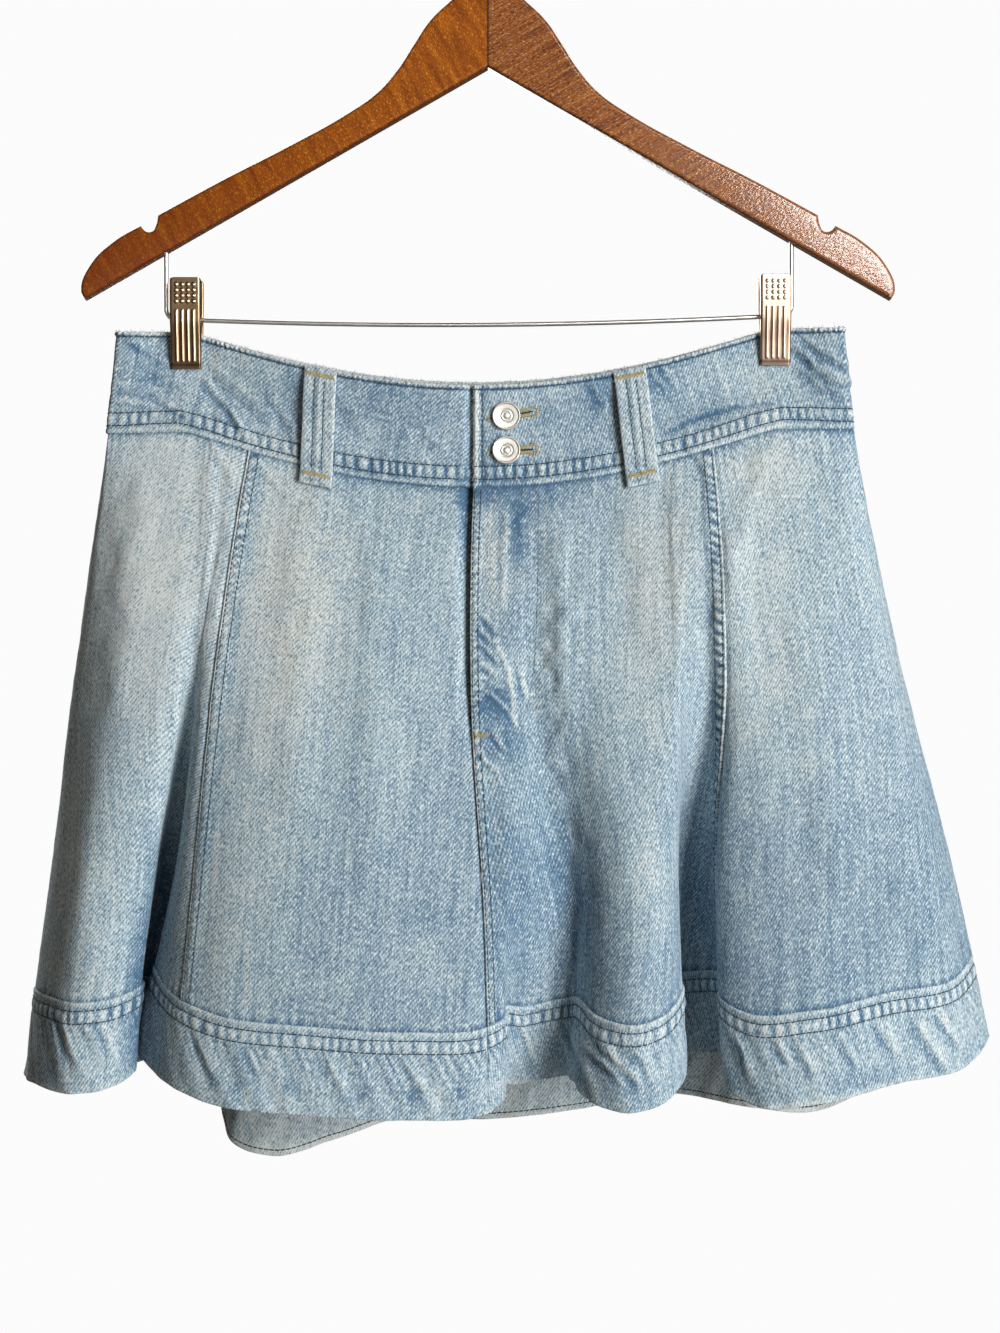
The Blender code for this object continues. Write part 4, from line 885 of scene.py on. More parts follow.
def felledEdge(**sides):  # sewn-down seam allowance: a raised band beside a seam, over the next panel's edge

    def lap(piece):
        raised, wear, ink = 0, 0, 0
        for side, look in sides.items():
            gap = piece["fromStart"] if side == "start" else piece["fromEnd"]
            pucker = (np.clip(1.6 * ruck(piece["drop"] + 0.7 * gap, 5.6, 1.3), -1, 1)
                      * (1 - 0.7 * rise(look["reach"], look["reach"] + 60, piece["drop"])))
            band = 1 - rise(look["width"] - 1.2, look["width"] + 1.2, gap)
            groove = bell(gap, look["rows"][0], 0.6) + bell(gap, look["rows"][1], 0.7)
            middle = bell(gap, look["width"] / 2, 2.4)
            raised = raised + look["height"] * band - 0.3 * groove + 0.75 * pucker * middle
            wear = wear + (0.7 + 0.4 * pucker) * bell(gap, 0.6, 0.9) + 0.9 * middle * np.maximum(pucker, 0)
            ink = ink + look["blue"] * (1.5 * middle * np.maximum(-pucker, 0) + 0.5 * groove
                                        + 0.35 * bell(gap, look["width"] + 1.5, 1.4))
        return raised, wear, ink
    return lap


tucked = dict(sideFrontRightPanel="fromEnd", sideFrontLeftPanel="fromStart", backRightPanel="fromStart")


def tuckedEdge(piece):  # the panel beside a felled seam runs under its edge
    side = tucked.get(piece["name"])
    return 0.7 * (1 - rise(0, 2.6, piece[side])) if side else 0 * piece["drop"]


def underFly(piece):  # the front right panel dives under the fly and lies a little lower along the seam
    gap, drop = piece["fromEnd"], piece["drop"]
    return 4.2 * (1 - rise(0, 9, gap)) * (1 - rise(95, 150, drop)) + 0.8 * (1 - rise(0, 3, gap))


def behindLap(piece):  # the button stand lies behind the overlap
    return (form["waistbandWall"] + form["seamGap"] + 0.5) * rise(jogStart, lapEdge - 0.8, piece["place"])


def nodeOf(name):  # the CAD node of a cloth piece, such as waistband_back for waistBack
    node = "".join("_" + c.lower() if c.isupper() else c for c in name)
    for short, full in (("waist_", "waistband_"), ("hem_", "hem_band_"), ("loop_", "belt_loop_")):
        node = node.replace(short, full)
    return node


# Grid steps across and down and the turn of the grain for each piece. Then how it was cut: greatest width and
# length in metres and flat area of what shows, all round.
pieceTable = tableFrom("""
piece           pitch  row turn width length   area
sideFrontRight    2.6  2.1    6 0.176  0.309  0.037
frontRight        2.6    2    2 0.171    0.3 0.0435
frontLeft         2.5    2  2.5 0.226  0.299 0.0475
sideFrontLeft     2.6  2.1  0.5 0.179  0.313  0.039
backLeft          3.2  3.4    0  0.31  0.326   0.08
backRight         3.2  3.4    2   0.3  0.329 0.0785
hemFrontRight     1.4 1.35    2 0.355  0.049  0.017
hemFrontLeft      1.4 1.35  -22 0.436   0.05 0.0205
hemBack           2.4  1.8    0 0.644  0.052  0.032
waistFrontRight  1.45 1.35    7 0.241  0.057 0.0134
waistFrontLeft   1.45 1.35  -13 0.216  0.057 0.0121
waistBack         2.6  1.8    0 0.421  0.057 0.0235
""")
lapEdge, sideSeam = lines["centreFront"], lines["sideLeft"]
lapX = float(waistX(lapEdge, 0.5))
standEnd, jogStart = [placeAt(lapX + reach, 0.5, False) for reach in (form["underlap"], -form["lapJog"])]
seamPlaces = dict(
    sideFrontRight=(0.0, lines["princessRight"]), frontRight=(lines["princessRight"], lapEdge),
    frontLeft=(lapEdge, lines["princessLeft"]), sideFrontLeft=(lines["princessLeft"], sideSeam),
    backLeft=(sideSeam, lines["centreBack"]), backRight=(lines["centreBack"], girth),
    hemFrontRight=(0.0, lapEdge), hemFrontLeft=(lapEdge, sideSeam), hemBack=(sideSeam, girth),
    waistFrontRight=(0.0, standEnd), waistFrontLeft=(lapEdge, sideSeam), waistBack=(sideSeam, girth))
laps = dict(frontRight=felledEdge(start=dict(felled, reach=60)), backLeft=felledEdge(end=felled),
            frontLeft=felledEdge(start=flyEdge, end=felled))
setIns = dict(frontRight=underFly, waistFrontRight=behindLap)
bandTop = 2 - form["hemBandShare"]
panelKind = dict(ending="Panel", levels=(1.0, bandTop), wall=form["bodyWall"], relief=bodyRelief,
                 edge=[0, 0.6], trim=(-1.2, -1.2, 0.1, 0.1))
hemKind = dict(ending="Band", levels=(bandTop, 2.0), wall=form["hemBandWall"], relief=hemRelief,
               edge=[0, 0.2, 0.6, 1.2, 2.0], trim=(0.15, 0.15, 0.15, 0.15))
waistKind = dict(hemKind, ending="band", levels=(0.0, 1.0), wall=form["waistbandWall"], relief=bandRelief)
pieces = {}
for row in pieceTable:
    name = row["piece"]
    kind = hemKind if name.startswith("hem") else waistKind if name.startswith("waist") else panelKind
    grid = gridOf(*seamPlaces[name], *kind["levels"], row["pitch"], row["row"], kind["edge"])
    pieces[name] = sewnPiece(name + kind["ending"], nodeOf(name), *grid, kind["wall"], kind["relief"],
                             row["turn"], laps.get(name), kind["trim"], setIns.get(name, tuckedEdge))
print("body panels, hem bands and waistband made")


# Belt loops: a folded strap, sewn down at both ends

loopLook = dict(width=18.0, top=0.8, length=66.0, ridge=0.35, groove=0.22, rowsAt=2.7, turn=-2.5)
loopTable = tableFrom("""
name             top foot back
loopFrontRight -90.5  -93    0
loopFrontLeft   76.5   84    0
loopBackRight   -104 -107    1
loopBackCentre    -4   -4    1
loopBackLeft      96   99    1
""")
loopNames = [row["name"] for row in loopTable]
loopRun = np.array([  # drop below the band's top, stand-off from the band's middle surface, thickness
    (0.8, 1.6, 2.0), (6.0, 1.6, 2.2), (11.0, 3.2, 2.2), (22.0, 3.8, 2.2), (38.0, 3.9, 2.2), (50.0, 3.4, 2.2),
    (56.5, 1.9, 2.4), (61.0, 1.4, 3.2), (66.0, 1.4, 3.0)])
edgeShares = np.array([0.88, 0.95, 0.985, 1])
loopShares = np.concatenate([-edgeShares[::-1], np.linspace(-0.8, 0.8, 21), edgeShares])
loopDrops = np.concatenate([[0.8, 1.0, 1.5], np.arange(2.2, 65, 1.1), [65.3, 65.8, 66.0]])


def beltLoop(name, top, foot, back):
    look, shares, drops = loopLook, loopShares, loopDrops
    centre, kernel = shares * look["width"] / 2, np.ones(5) / 5
    rows = look["rowsAt"]
    smooth = [np.interp(drops, loopRun[:, 0], loopRun[:, i]) for i in (1, 2)]
    lift, thick = [np.concatenate([v[:2], np.convolve(v, kernel, "valid"), v[-2:]]) for v in smooth]
    height = (look["ridge"] * bell(centre, 0, 1.0) - look["groove"] * bell(np.abs(centre), rows, 0.7)
              + 0.12 * bell(np.abs(centre), 6.5, 1.5))
    roll = 0.35 + 0.65 * np.sqrt(1 - (1 - np.minimum(1, (1 - np.abs(shares)) * 9)) ** 2)
    edges = bell(np.abs(shares), 1.0, 0.07) + 0.5 * bell(centre, 0, 1.2)
    outer, inner, washes = [], [], []
    for drop, up, deep in zip(drops, lift, thick):
        below = drop - form["waistbandHeight"]
        level = drop / form["waistbandHeight"] if below <= 0 else 1 + below / form["bodyLength"]
        spot = placeAt(top + (foot - top) * drop / look["length"], min(level, 1.0), bool(back))
        point, across, down, out = [v[0] for v in skirtFrame(np.array([spot]), np.array([level]))]
        ends = 0.45 + 0.55 * min(1, min(drop - look["top"], look["length"] - drop) / 1.2)
        half = deep / 2 * roll * ends
        base = point + across * centre[:, None]
        outer.append(base + out * (up + deep / 2 + half + height * ends)[:, None])
        inner.append(base + out * (up + deep / 2 - half)[:, None])
        wear = 0.4 * edges + 0.45 * bell(drop, look["length"], 1.6) + 0.12 * mottle(centre, drop, 7, 4) + 0.1
        ink = 0.5 * bell(np.abs(centre), rows, 0.8) + 0.25 * np.maximum(0, mottle(centre, drop, 9, 8))
        washes.append(np.stack([wear, ink, 0.1 + 0 * ink, 1 + 0 * ink], -1))
    outer, inner, washes = np.array(outer), np.array(inner), np.array(washes)
    cut = turned(np.stack(np.meshgrid(centre, -drops), -1), look["turn"])
    obj = shellFrom(name, outer, inner, (cut, cut), (washes, washes))
    dress(obj, [denim], nodeOf(name))
    normal = unit(np.cross(np.gradient(outer, axis=0), np.gradient(outer, axis=1)))
    around, fall = np.meshgrid(centre + look["width"] / 2, drops)
    return dict(obj=obj, outer=outer, normal=normal, around=around, drop=fall)


for row in loopTable:
    pieces[row["name"]] = beltLoop(**row)
print("belt loops made")


# Sewing

panelStitch, loopStitch, endStitch = [dict(pitch=pitch, length=length, lift=lift) for pitch, length, lift in (
    (2.9, 2.3, 0.22), (2.6, 2.0, 0.15), (2.8, 2.2, 0.22))]
threads = dict(
    waistThread=Thread("waistbandStitching", seamThread, radius=0.36),
    hemThread=Thread("hemBandStitching", seamThread, radius=0.36),
    panelThread=Thread("panelSeamStitching", seamThread, radius=0.28),
    flyThread=Thread("flyStitching", fadedThread, radius=0.24),
    goldTacks=Thread("barTacksAndButtonholes", goldThread, radius=0.27),
)
waistNames, hemNames = [[name for name in pieces if name.startswith(part)] for part in ("waist", "hem")]
for name in waistNames:
    piece = pieces[name]
    around = np.interp(piece["place"][0], waistRound, waistArc)
    shown = (piece["place"][0] < jogStart).sum() if name == "waistFrontRight" else None  # up to the overlap
    edgeRow = waistLook["edgeRow"] + 0.35 * ruck(around, 4.4, 2.2)
    for drop in (edgeRow, waistLook["upperRow"], waistLook["lowerRow"]):
        points, normals = rowAcross(piece, drop)
        threads["waistThread"].row(points[:shown], normals[:shown])
lap = pieces["waistFrontLeft"]
threads["waistThread"].row(*rowDown(lap, waistLook["endRow"], "start", top=3.0, low=54.0), **endStitch)
for name in hemNames:
    for drop in (hemLook["upperRow"], hemLook["lowerRow"]):
        threads["hemThread"].row(*rowAcross(pieces[name], drop))
    depth = pieces[name]["height"][0] - hemLook["insideRow"]
    threads["hemThread"].row(*rowAcross(pieces[name], depth, "inner"))
for name, side, look in (("frontRight", "start", felled), ("frontLeft", "start", flyEdge),
                         ("frontLeft", "end", felled), ("backLeft", "end", felled)):
    for gap in look["rows"]:
        threads["panelThread"].row(*rowDown(pieces[name], gap, side, top=1.0, low=500.0), **panelStitch)
for name in loopNames:
    for side in (-1, 1):
        gap = loopLook["width"] / 2 + side * loopLook["rowsAt"]
        threads["panelThread"].row(*rowDown(pieces[name], gap, "start", top=6.0, low=60.0), **loopStitch)


def barTack(piece, drop, width, depth=2.4, count=19):  # a dense zigzag over a few long threads
    rows = piece["drop"][:, 0]
    r = np.abs(rows - drop).argmin()
    at = loopLook["width"] / 2 + np.linspace(-width / 2, width / 2, count)
    middle = readAt(at, piece["around"][r], piece["outer"][r])
    out = unit(readAt(at, piece["around"][r], piece["normal"][r]))
    fall = unit(piece["outer"][min(r + 2, len(rows) - 1)] - piece["outer"][r - 2]).mean(axis=0)
    reach = depth / 2 * (1 + 0.12 * np.sin(np.arange(count) * 2.1))[:, None]
    aside = unit(middle[-1:] - middle[:1]) * width / count * 0.45
    bites = threads["goldTacks"].bites
    bites(middle - fall * reach - aside, middle + fall * reach + aside, out, lift=0.3)
    for shift in (-0.55, 0.5):  # the long threads that the zigzag covers
        bites(middle[:-1] + fall[None] * shift, middle[1:] + fall[None] * shift, out[:-1], lift=0.2)


for name in loopNames:
    barTack(pieces[name], drop=4.0, width=15.0)
    barTack(pieces[name], drop=60.4, width=14.0)

# Buttonholes: two cords of close bites round a slit, with a round eye at the outer end
buttonLook = dict(x=10.0, drops=(17.5, 36.7))
holeLook = dict(start=-8.4, end=14.6, eye=1.7, half=0.55, slopes=(0.18, 0.08), bite=1.9, pitch=0.62)
first, last, eye, half = [holeLook[key] for key in ("start", "end", "eye", "half")]
straight = np.arange(first, last - eye, holeLook["pitch"])
path = [(along, half * side, 0, side) for side in (-1, 1) for along in straight]  # place and way of each bite
for a in np.radians(np.arange(-150, 151, 22)):
    path.append((last + eye * math.cos(a), eye * math.sin(a), math.cos(a), math.sin(a)))
path = np.array(path + [(first - 0.4, v, -1, 0) for v in (-0.6, 0, 0.6)])
slits = []
for drop, slope in zip(buttonLook["drops"], holeLook["slopes"]):
    level = drop / form["waistbandHeight"]
    seat = skirtPoint(np.array([placeAt(buttonLook["x"], level, False)]), np.array([level]))[0]
    c, s = math.cos(slope), math.sin(slope)

    def onLap(along, aside):  # points of the overlap at these distances along and across a buttonhole
        return pinTo(lap, seat[0] + along * c - aside * s, seat[2] + along * s + aside * c)

    starts, out = onLap(path[:, 0], path[:, 1])
    ends, _ = onLap(*(path[:, :2] + path[:, 2:] * holeLook["bite"]).T)
    threads["goldTacks"].bites(starts, ends, out, lift=0.34)
    slits.append(onLap(np.linspace(first, last, 24), 0))

# Fly: curved topstitch line and its tack
flyStitch = np.array([(27.5, -344), (27.3, -380), (26.5, -420), (25.0, -445), (21.5, -465), (16.0, -478),
                      (8.5, -486), (0.5, -489)])
flyTack = dict(left=-8.0, right=-0.5, top=-479.2, low=-481.4, lean=0.4, bites=13)
steps = np.linspace(0, len(flyStitch) - 1, 60)
flyPath = readAt(steps, np.arange(len(flyStitch)), flyStitch)
threads["flyThread"].row(*pinTo(pieces["frontLeft"], *flyPath.T), **panelStitch)
tackX = np.linspace(flyTack["left"], flyTack["right"], flyTack["bites"])
starts, out = pinTo(pieces["frontLeft"], tackX, 0 * tackX + flyTack["top"])
ends, _ = pinTo(pieces["frontLeft"], tackX + flyTack["lean"], 0 * tackX + flyTack["low"])
threads["goldTacks"].bites(starts, ends, out, lift=0.38)
sewing = {name: thread.build() for name, thread in threads.items()}

shade = newMaterial("buttonhole slit, in shadow", {"Base Color": linear("#2A2C2B"), "Roughness": 1.0})[0]
slitPaths = np.stack([middle + out * 0.05 for middle, out in slits])
slitOuts = np.stack([out.mean(axis=0) for _, out in slits])
slitTubes = tubes(slitPaths, np.full(slitPaths.shape[:2], 0.42), slitOuts, 6)
slit = dress(meshFrom("buttonholeSlits", *slitTubes), [shade])  # the cut drawn as a dark line, painted shade in the slit
print("sewing made")


# Frayed edges: short ends of weft yarn standing out of the worn edges


def fray(name, rows, length, radius, perMm, seed):
    rng = np.random.default_rng(seed)
    paths, normals = [], []
    for points, outs, away in rows:
        run = runAlong(points)
        count = int(run[-1] * perMm)
        at = rng.uniform(0, run[-1], count)
        spot, out, go = readAt(at, run, points), unit(readAt(at, run, outs)), unit(readAt(at, run, away))
        along = unit(np.cross(go, out))
        size = length * rng.uniform(0.3, 1.0, (count, 1)) ** 1.5
        lean = rng.normal(0, 0.9, (count, 1))
        stand = rng.normal(0.1, 0.5, (count, 1))
        spot = spot + out * rng.uniform(-1.6, 0.1, (count, 1)) - go * 0.4
        tip = unit(go + along * lean + out * stand)
        curl = along * rng.normal(0, 0.35, (count, 1)) + out * rng.normal(0, 0.3, (count, 1))
        paths.append(np.stack([spot, spot + tip * size * 0.55, spot + (tip + curl) * size], 1))
        normals.append(out)
    paths = np.concatenate(paths)
    radii = np.full(paths.shape[:2], radius)
    radii[:, 2] *= 0.5
    return dress(meshFrom(name, *tubes(paths, radii, np.concatenate(normals), 3)), [fluff])


def edgeOf(piece, edge):  # the edge row of a piece, its outward normals and the way off the cloth
    outer, normal = piece["outer"], piece["normal"]
    if edge == "top":
        return outer[2], normal[4], unit(outer[0] - outer[3])
    if edge == "low":
        return outer[-3], normal[-5], unit(outer[-1] - outer[-4])
    return outer[:, 2], normal[:, 4], unit(outer[:, 0] - outer[:, 3])


waistEdges = [edgeOf(pieces[name], "top") for name in waistNames] + [edgeOf(lap, "start")] * 3
waistFray = fray("waistbandFray", waistEdges, length=1.9, radius=0.13, perMm=3.1, seed=3)
hemEdges = [edgeOf(pieces[name], "low") for name in hemNames]
hemFray = fray("hemFray", hemEdges, length=1.5, radius=0.11, perMm=1.5, seed=5)
print("frayed edges made")

for name in loopNames:
    side = "back" if "Back" in name else "front_right" if "Right" in name else "front_left"


# Hard pieces


def varnishedWood(name, look):
    # Sapele under a brushed gloss varnish: interlocked grain gives ribbons of gold fleck and short pores.
    material, tree, shader = newMaterial(name, {
        "Roughness": 0.5, "Specular IOR Level": 0.05, "Coat Weight": 0.75, "Coat Roughness": 0.12})
    place = addNode(tree, "ShaderNodeTexCoord").outputs["Object"]

    def grain(turn, across, along, detail):
        turns, scale = (0, math.radians(turn), 0), (1 / (along * mm), 1 / (6 * mm), 1 / (across * mm))
        lean = addNode(tree, "ShaderNodeMapping", {"Rotation": turns}, {0: place}).outputs[0]
        scaled = addNode(tree, "ShaderNodeMapping", {"Scale": scale}, {0: lean}).outputs[0]
        return noise(tree, scaled, 1.0, detail, 0.55)

    tilt, ribbonTilt = look["slope"], look["slope"] + look["ribbonTurn"]
    long, ribbon = grain(tilt, 1.1, 42.0, 3.0), grain(ribbonTilt, 3.6, 26.0, 1.0)
    fleck, pore = grain(ribbonTilt, 0.55, 1.8, 1.0), grain(tilt, look["poreWide"], 2.4, 1.0)
    tone = sumOf(tree, 0.42, [(long, look["long"], 0.5), (ribbon, look["ribbon"], 0.5)])
    gold = ranged(tree, fleck, 0.56, 0.68, 0.0, look["fleck"])
    goldHere = addNode(tree, "ShaderNodeMath", {"operation": "MULTIPLY"}, {0: gold, 1: tone}).outputs[0]
    facing = addNode(tree, "ShaderNodeNewGeometry").outputs["Normal"]
    upDown = addNode(tree, "ShaderNodeSeparateXYZ", {}, {0: facing}).outputs[2]
    across = addNode(tree, "ShaderNodeSeparateXYZ", {}, {0: place}).outputs[0]
    off = addNode(tree, "ShaderNodeMath", {"operation": "ABSOLUTE"}, {0: across}).outputs[0]
    colour = threeTones(tree, tone, look, 0.15, 0.85)
    for share, hexCode in (
            (goldHere, look["gold"]),
            (ranged(tree, pore, 0.58, 0.66, 0.0, look["pore"]), "#3A1508"),
            (ranged(tree, upDown, -0.35, -0.8, 0.0, 0.6), "#3B150A"),  # painted shade: faces that look down are darker
            # towards the tip the colour turns to the look's tip colour: on the left arm paler, a painted
            # reflection of the varnish's gloss; on the right arm darker
            (ranged(tree, off, 70 * mm, 210 * mm, 0.0, look["tipShare"]), look["tip"]),
            (ranged(tree, off, 0.2 * mm, 0.9 * mm, 0.85, 0.0), "#2A1008")):  # glue line of the mitre
        colour = mix(tree, share, colour, linear(hexCode))
    tree.links.new(colour, shader.inputs["Base Color"])
    addBump(tree, shader, pore, 0.4, 0.12)
    addBump(tree, shader, pore, look["orangePeel"], 0.12, "Coat Normal")
    return material


def metal(name, hexCode, roughness, grit=0.3, marks=0.06, hollow=None, crest=None, bumpy=0.15):
    # Plated or drawn steel: even colour, a fine grit in the gloss and a few handling marks. On a stamped
    # plate the hollows are darkened, painted shade, and the crests lightened, painted highlight.
    material, tree, shader = newMaterial(name, {"Metallic": 1.0})
    place = addNode(tree, "ShaderNodeTexCoord").outputs["Object"]
    fine, broad = noise(tree, place, 1 / (grit * mm)), noise(tree, place, 1 / (6 * mm))
    base = linear(hexCode)
    colour = mix(tree, broad, (*[c * 0.8 for c in base[:3]], 1.0), base)
    if hollow:
        paintedHollowShade, paintedCrestHighlight, *_ = washParts(tree)
        colour = mix(tree, paintedCrestHighlight, mix(tree, paintedHollowShade, colour, linear(hollow)), linear(crest))
    tree.links.new(colour, shader.inputs["Base Color"])
    gloss = sumOf(tree, roughness, [(fine, marks, 0.5), (broad, marks * 2, 0.5)])
    tree.links.new(gloss, shader.inputs["Roughness"])
    addBump(tree, shader, fine, bumpy, 0.05)
    return material


hangerLook = dict(thick=12.0, round=2.0, top=-67.0, mitreLow=-117.0, mitreGap=0.02, socket=9.0)
armLooks = dict(
    left=dict(slope=30, ribbonTurn=-4, long=1.3, ribbon=0.3, fleck=1.2, pore=0.8, poreWide=0.9,
              orangePeel=0.7, dark="#662C0A", mid="#A05A1A", light="#CC8A3C", gold="#F0C8A0", tip="#A8704C",
              tipShare=0.5),
    right=dict(slope=-30, ribbonTurn=-32, long=0.4, ribbon=0.9, fleck=1.3, pore=0.1, poreWide=0.32,
               orangePeel=0.05, dark="#7A3400", mid="#A85402", light="#CC7C0C", gold="#F0B030", tip="#6A2600",
               tipShare=0.6))
hangerTable = tableFrom("""
corner     x      z soft
tip      220 -243.5    0
nose     222   -239    1
nose2    217   -225    1
nose3    204   -212    1
notch1 189.5 -203.5    0
notch2 186.5 -206.5    1
notch3 183.2 -206.5    1
notch4   181   -203    1
notch5   180 -197.8    0
arm1     145 -178.8    1
arm2     110 -160.9    1
arm3      76   -142    1
neck1     60 -130.6    1
neck2     49   -118    1
neck3     40   -104    1
neck4   31.5  -91.5    1
crown1  19.5    -80    1
crown2     9  -70.5    1
""")


def hangerArm(name, side, node, material):
    look = hangerLook
    curve = bpy.data.curves.new(name, "CURVE")
    curve.dimensions, curve.fill_mode = "2D", "BOTH"
    curve.extrude = (look["thick"] / 2 - look["round"]) * mm
    curve.bevel_depth, curve.bevel_resolution = look["round"] * mm, 5
    curve.offset, curve.resolution_u = -look["round"] * mm, 10
    left = [(row["x"], row["z"], row["soft"]) for row in hangerTable]
    right = [(-x, z, soft) for x, z, soft in reversed(left)]
    outline = [(0, look["mitreLow"], 0)] + left + [(0, look["top"], 1)] + right
    spline = curve.splines.new("BEZIER")
    spline.use_cyclic_u = True
    spline.bezier_points.add(len(outline) - 1)
    for knot, (x, z, soft) in zip(spline.bezier_points, outline):
        knot.co = (x * mm, z * mm, 0)
        knot.handle_left_type = knot.handle_right_type = "AUTO" if soft else "VECTOR"
    blank = bpy.data.objects.new("hangerBlank", curve)
    blank.rotation_euler = (math.pi / 2, 0, 0)
    bpy.context.scene.collection.objects.link(blank)
    bpy.context.view_layer.update()
    mesh = bpy.data.meshes.new_from_object(blank.evaluated_get(bpy.context.evaluated_depsgraph_get()))
    mesh.transform(blank.matrix_world)
    bpy.data.objects.remove(blank)
    work = bmesh.new()
    work.from_mesh(mesh)
    bmesh.ops.remove_doubles(work, verts=work.verts[:], dist=0.00001)
    bmesh.ops.recalc_face_normals(work, faces=work.faces[:])
    whole = work.verts[:] + work.edges[:] + work.faces[:]
    cutAt = (side * look["mitreGap"] * mm, 0, 0)
    cut = bmesh.ops.bisect_plane(work, geom=whole, plane_co=cutAt, plane_no=(side, 0, 0), clear_inner=True)
    edges = [item for item in cut["geom_cut"] if isinstance(item, bmesh.types.BMEdge)]
    bmesh.ops.holes_fill(work, edges=edges)
    work.to_mesh(mesh)
    work.free()
    mesh.materials.clear()
    mesh.shade_smooth()
    mesh.set_sharp_from_angle(angle=math.radians(35))
    obj = bpy.data.objects.new(name, mesh)
    bpy.context.scene.collection.objects.link(obj)
    obj.modifiers.new("even shading", "WEIGHTED_NORMAL").keep_sharp = True
    dress(obj, [material], node)


straight = varnishedWood("varnished sapele, straight grain", armLooks["left"])
figured = varnishedWood("varnished sapele, ribbon figure", armLooks["right"])
hangerArm("hangerArmLeft", 1, "hanger_arm_left", straight)
hangerArm("hangerArmRight", -1, "hanger_arm_right", figured)


def wire(name, points, radius, material, node):
    curve = bpy.data.curves.new(name, "CURVE")
    curve.dimensions, curve.bevel_depth, curve.bevel_resolution = "3D", radius * mm, 5
    curve.use_fill_caps = True
    spline = curve.splines.new("POLY")
    spline.points.add(len(points) - 1)
    for knot, point in zip(spline.points, points):
        knot.co = (*(np.array(point) * mm), 1)
    spline.use_smooth = True
    obj = bpy.data.objects.new(name, curve)
    bpy.context.scene.collection.objects.link(obj)
    dress(obj, [material], node)


def arc(cx, cz, radius, first, last, steps):
    angles = np.radians(np.linspace(first, last, steps))
    return [(cx + radius * math.cos(a), 0, cz + radius * math.sin(a)) for a in angles]


hookLook = dict(inner=18.0, wire=3.8, socket=24.0, stemTop=-49.0, first=215, last=-22, bendSteps=12,
                arcSteps=46)
hookRadius = hookLook["inner"] + hookLook["wire"] / 2
stem = np.array([0, 0, hookLook["stemTop"]])
joinAngle = math.radians(hookLook["first"])
join = np.array([hookRadius * math.cos(joinAngle), 0, -hookLook["inner"] + hookRadius * math.sin(joinAngle)])
lean = np.array([math.sin(joinAngle), 0, -math.cos(joinAngle)])
reach, shares = np.linalg.norm(join - stem), np.arange(hookLook["bendSteps"]) / hookLook["bendSteps"]
bend = [hermite(stem, join, np.array([0, 0, 1]), lean, reach, share) for share in shares]
hookPoints = [(0, 0, hangerLook["top"] - hookLook["socket"]), (0, 0, hangerLook["top"])] + bend
hookPoints += arc(0, -hookLook["inner"], hookRadius, hookLook["first"], hookLook["last"],
                  hookLook["arcSteps"])
brightSteel = metal("drawn steel wire, bright zinc plated", "#E4E0DA", 0.3, grit=1.5, marks=0.01, bumpy=0.0)
wire("hangerHook", hookPoints, hookLook["wire"] / 2, brightSteel, "hanger_hook")

barLook = dict(wire=2.5, left=166.0, right=-176.0, levelLeft=-252.0, levelRight=-254.0, levelMiddle=-257.0,
               bend=5.5, bendSteps=9, spanSteps=24)


def woodUnder(out):
    tip = hangerTable[0]
    return hangerLook["mitreLow"] + (tip["z"] - hangerLook["mitreLow"]) * out / tip["x"]


left, right, bend = barLook["left"], barLook["right"], barLook["bend"]
leftLevel, rightLevel = barLook["levelLeft"], barLook["levelRight"]
span, sag = left - right - 2 * bend, barLook["levelMiddle"] - (rightLevel + leftLevel) / 2
barPoints = [(right, 0, woodUnder(-right) + hangerLook["socket"])]
barPoints += arc(right + bend, rightLevel + bend, bend, 180, 270, barLook["bendSteps"])
for share in np.arange(1, barLook["spanSteps"]) / barLook["spanSteps"]:
    level = rightLevel + (leftLevel - rightLevel) * share + sag * 4 * share * (1 - share)
    barPoints.append((right + bend + span * share, 0, level))
barPoints += arc(left - bend, leftLevel + bend, bend, 270, 360, barLook["bendSteps"])
barPoints.append((left, 0, woodUnder(left) + hangerLook["socket"]))
wire("clipBar", barPoints, barLook["wire"] / 2, brightSteel, "hanger_bar")
print("hanger made")


# Clips: stamped plates with a grid of dimples for the fingers and four ribs down to the jaw
clipLook = dict(
    metal=0.85, corner=1.3, flange=4.6, insideJaw=3.0, frontGrid=(130, 44), backGrid=(90, 30),
    dots=4, dotPitch=3.15, dotRow=3.05, dotTop=3.9, dotSize=0.95, dotHeight=0.6,
    ribPitch=3.1, ribFrom=17.4, ribTo=46.4, ribEnd=0.9, ribHalf=0.62, ribHeight=0.6)
clipProfile = np.array([(9.2, 21.8), (9.4, 8.0), (8.6, -3.0), (6.2, -15.0), (4.7, -25.0), (4.0, -27.6)])
# the hollow colours are painted shade and the crest colours painted highlight
plateNickel = dict(
    left=metal("nickel plated steel, warm tarnish", "#A08464", 0.3, hollow="#4A3428", crest="#F0DDBE"),
    right=metal("nickel plated steel, pale", "#C8AE98", 0.34, hollow="#5A3C30", crest="#EBDCCB"))


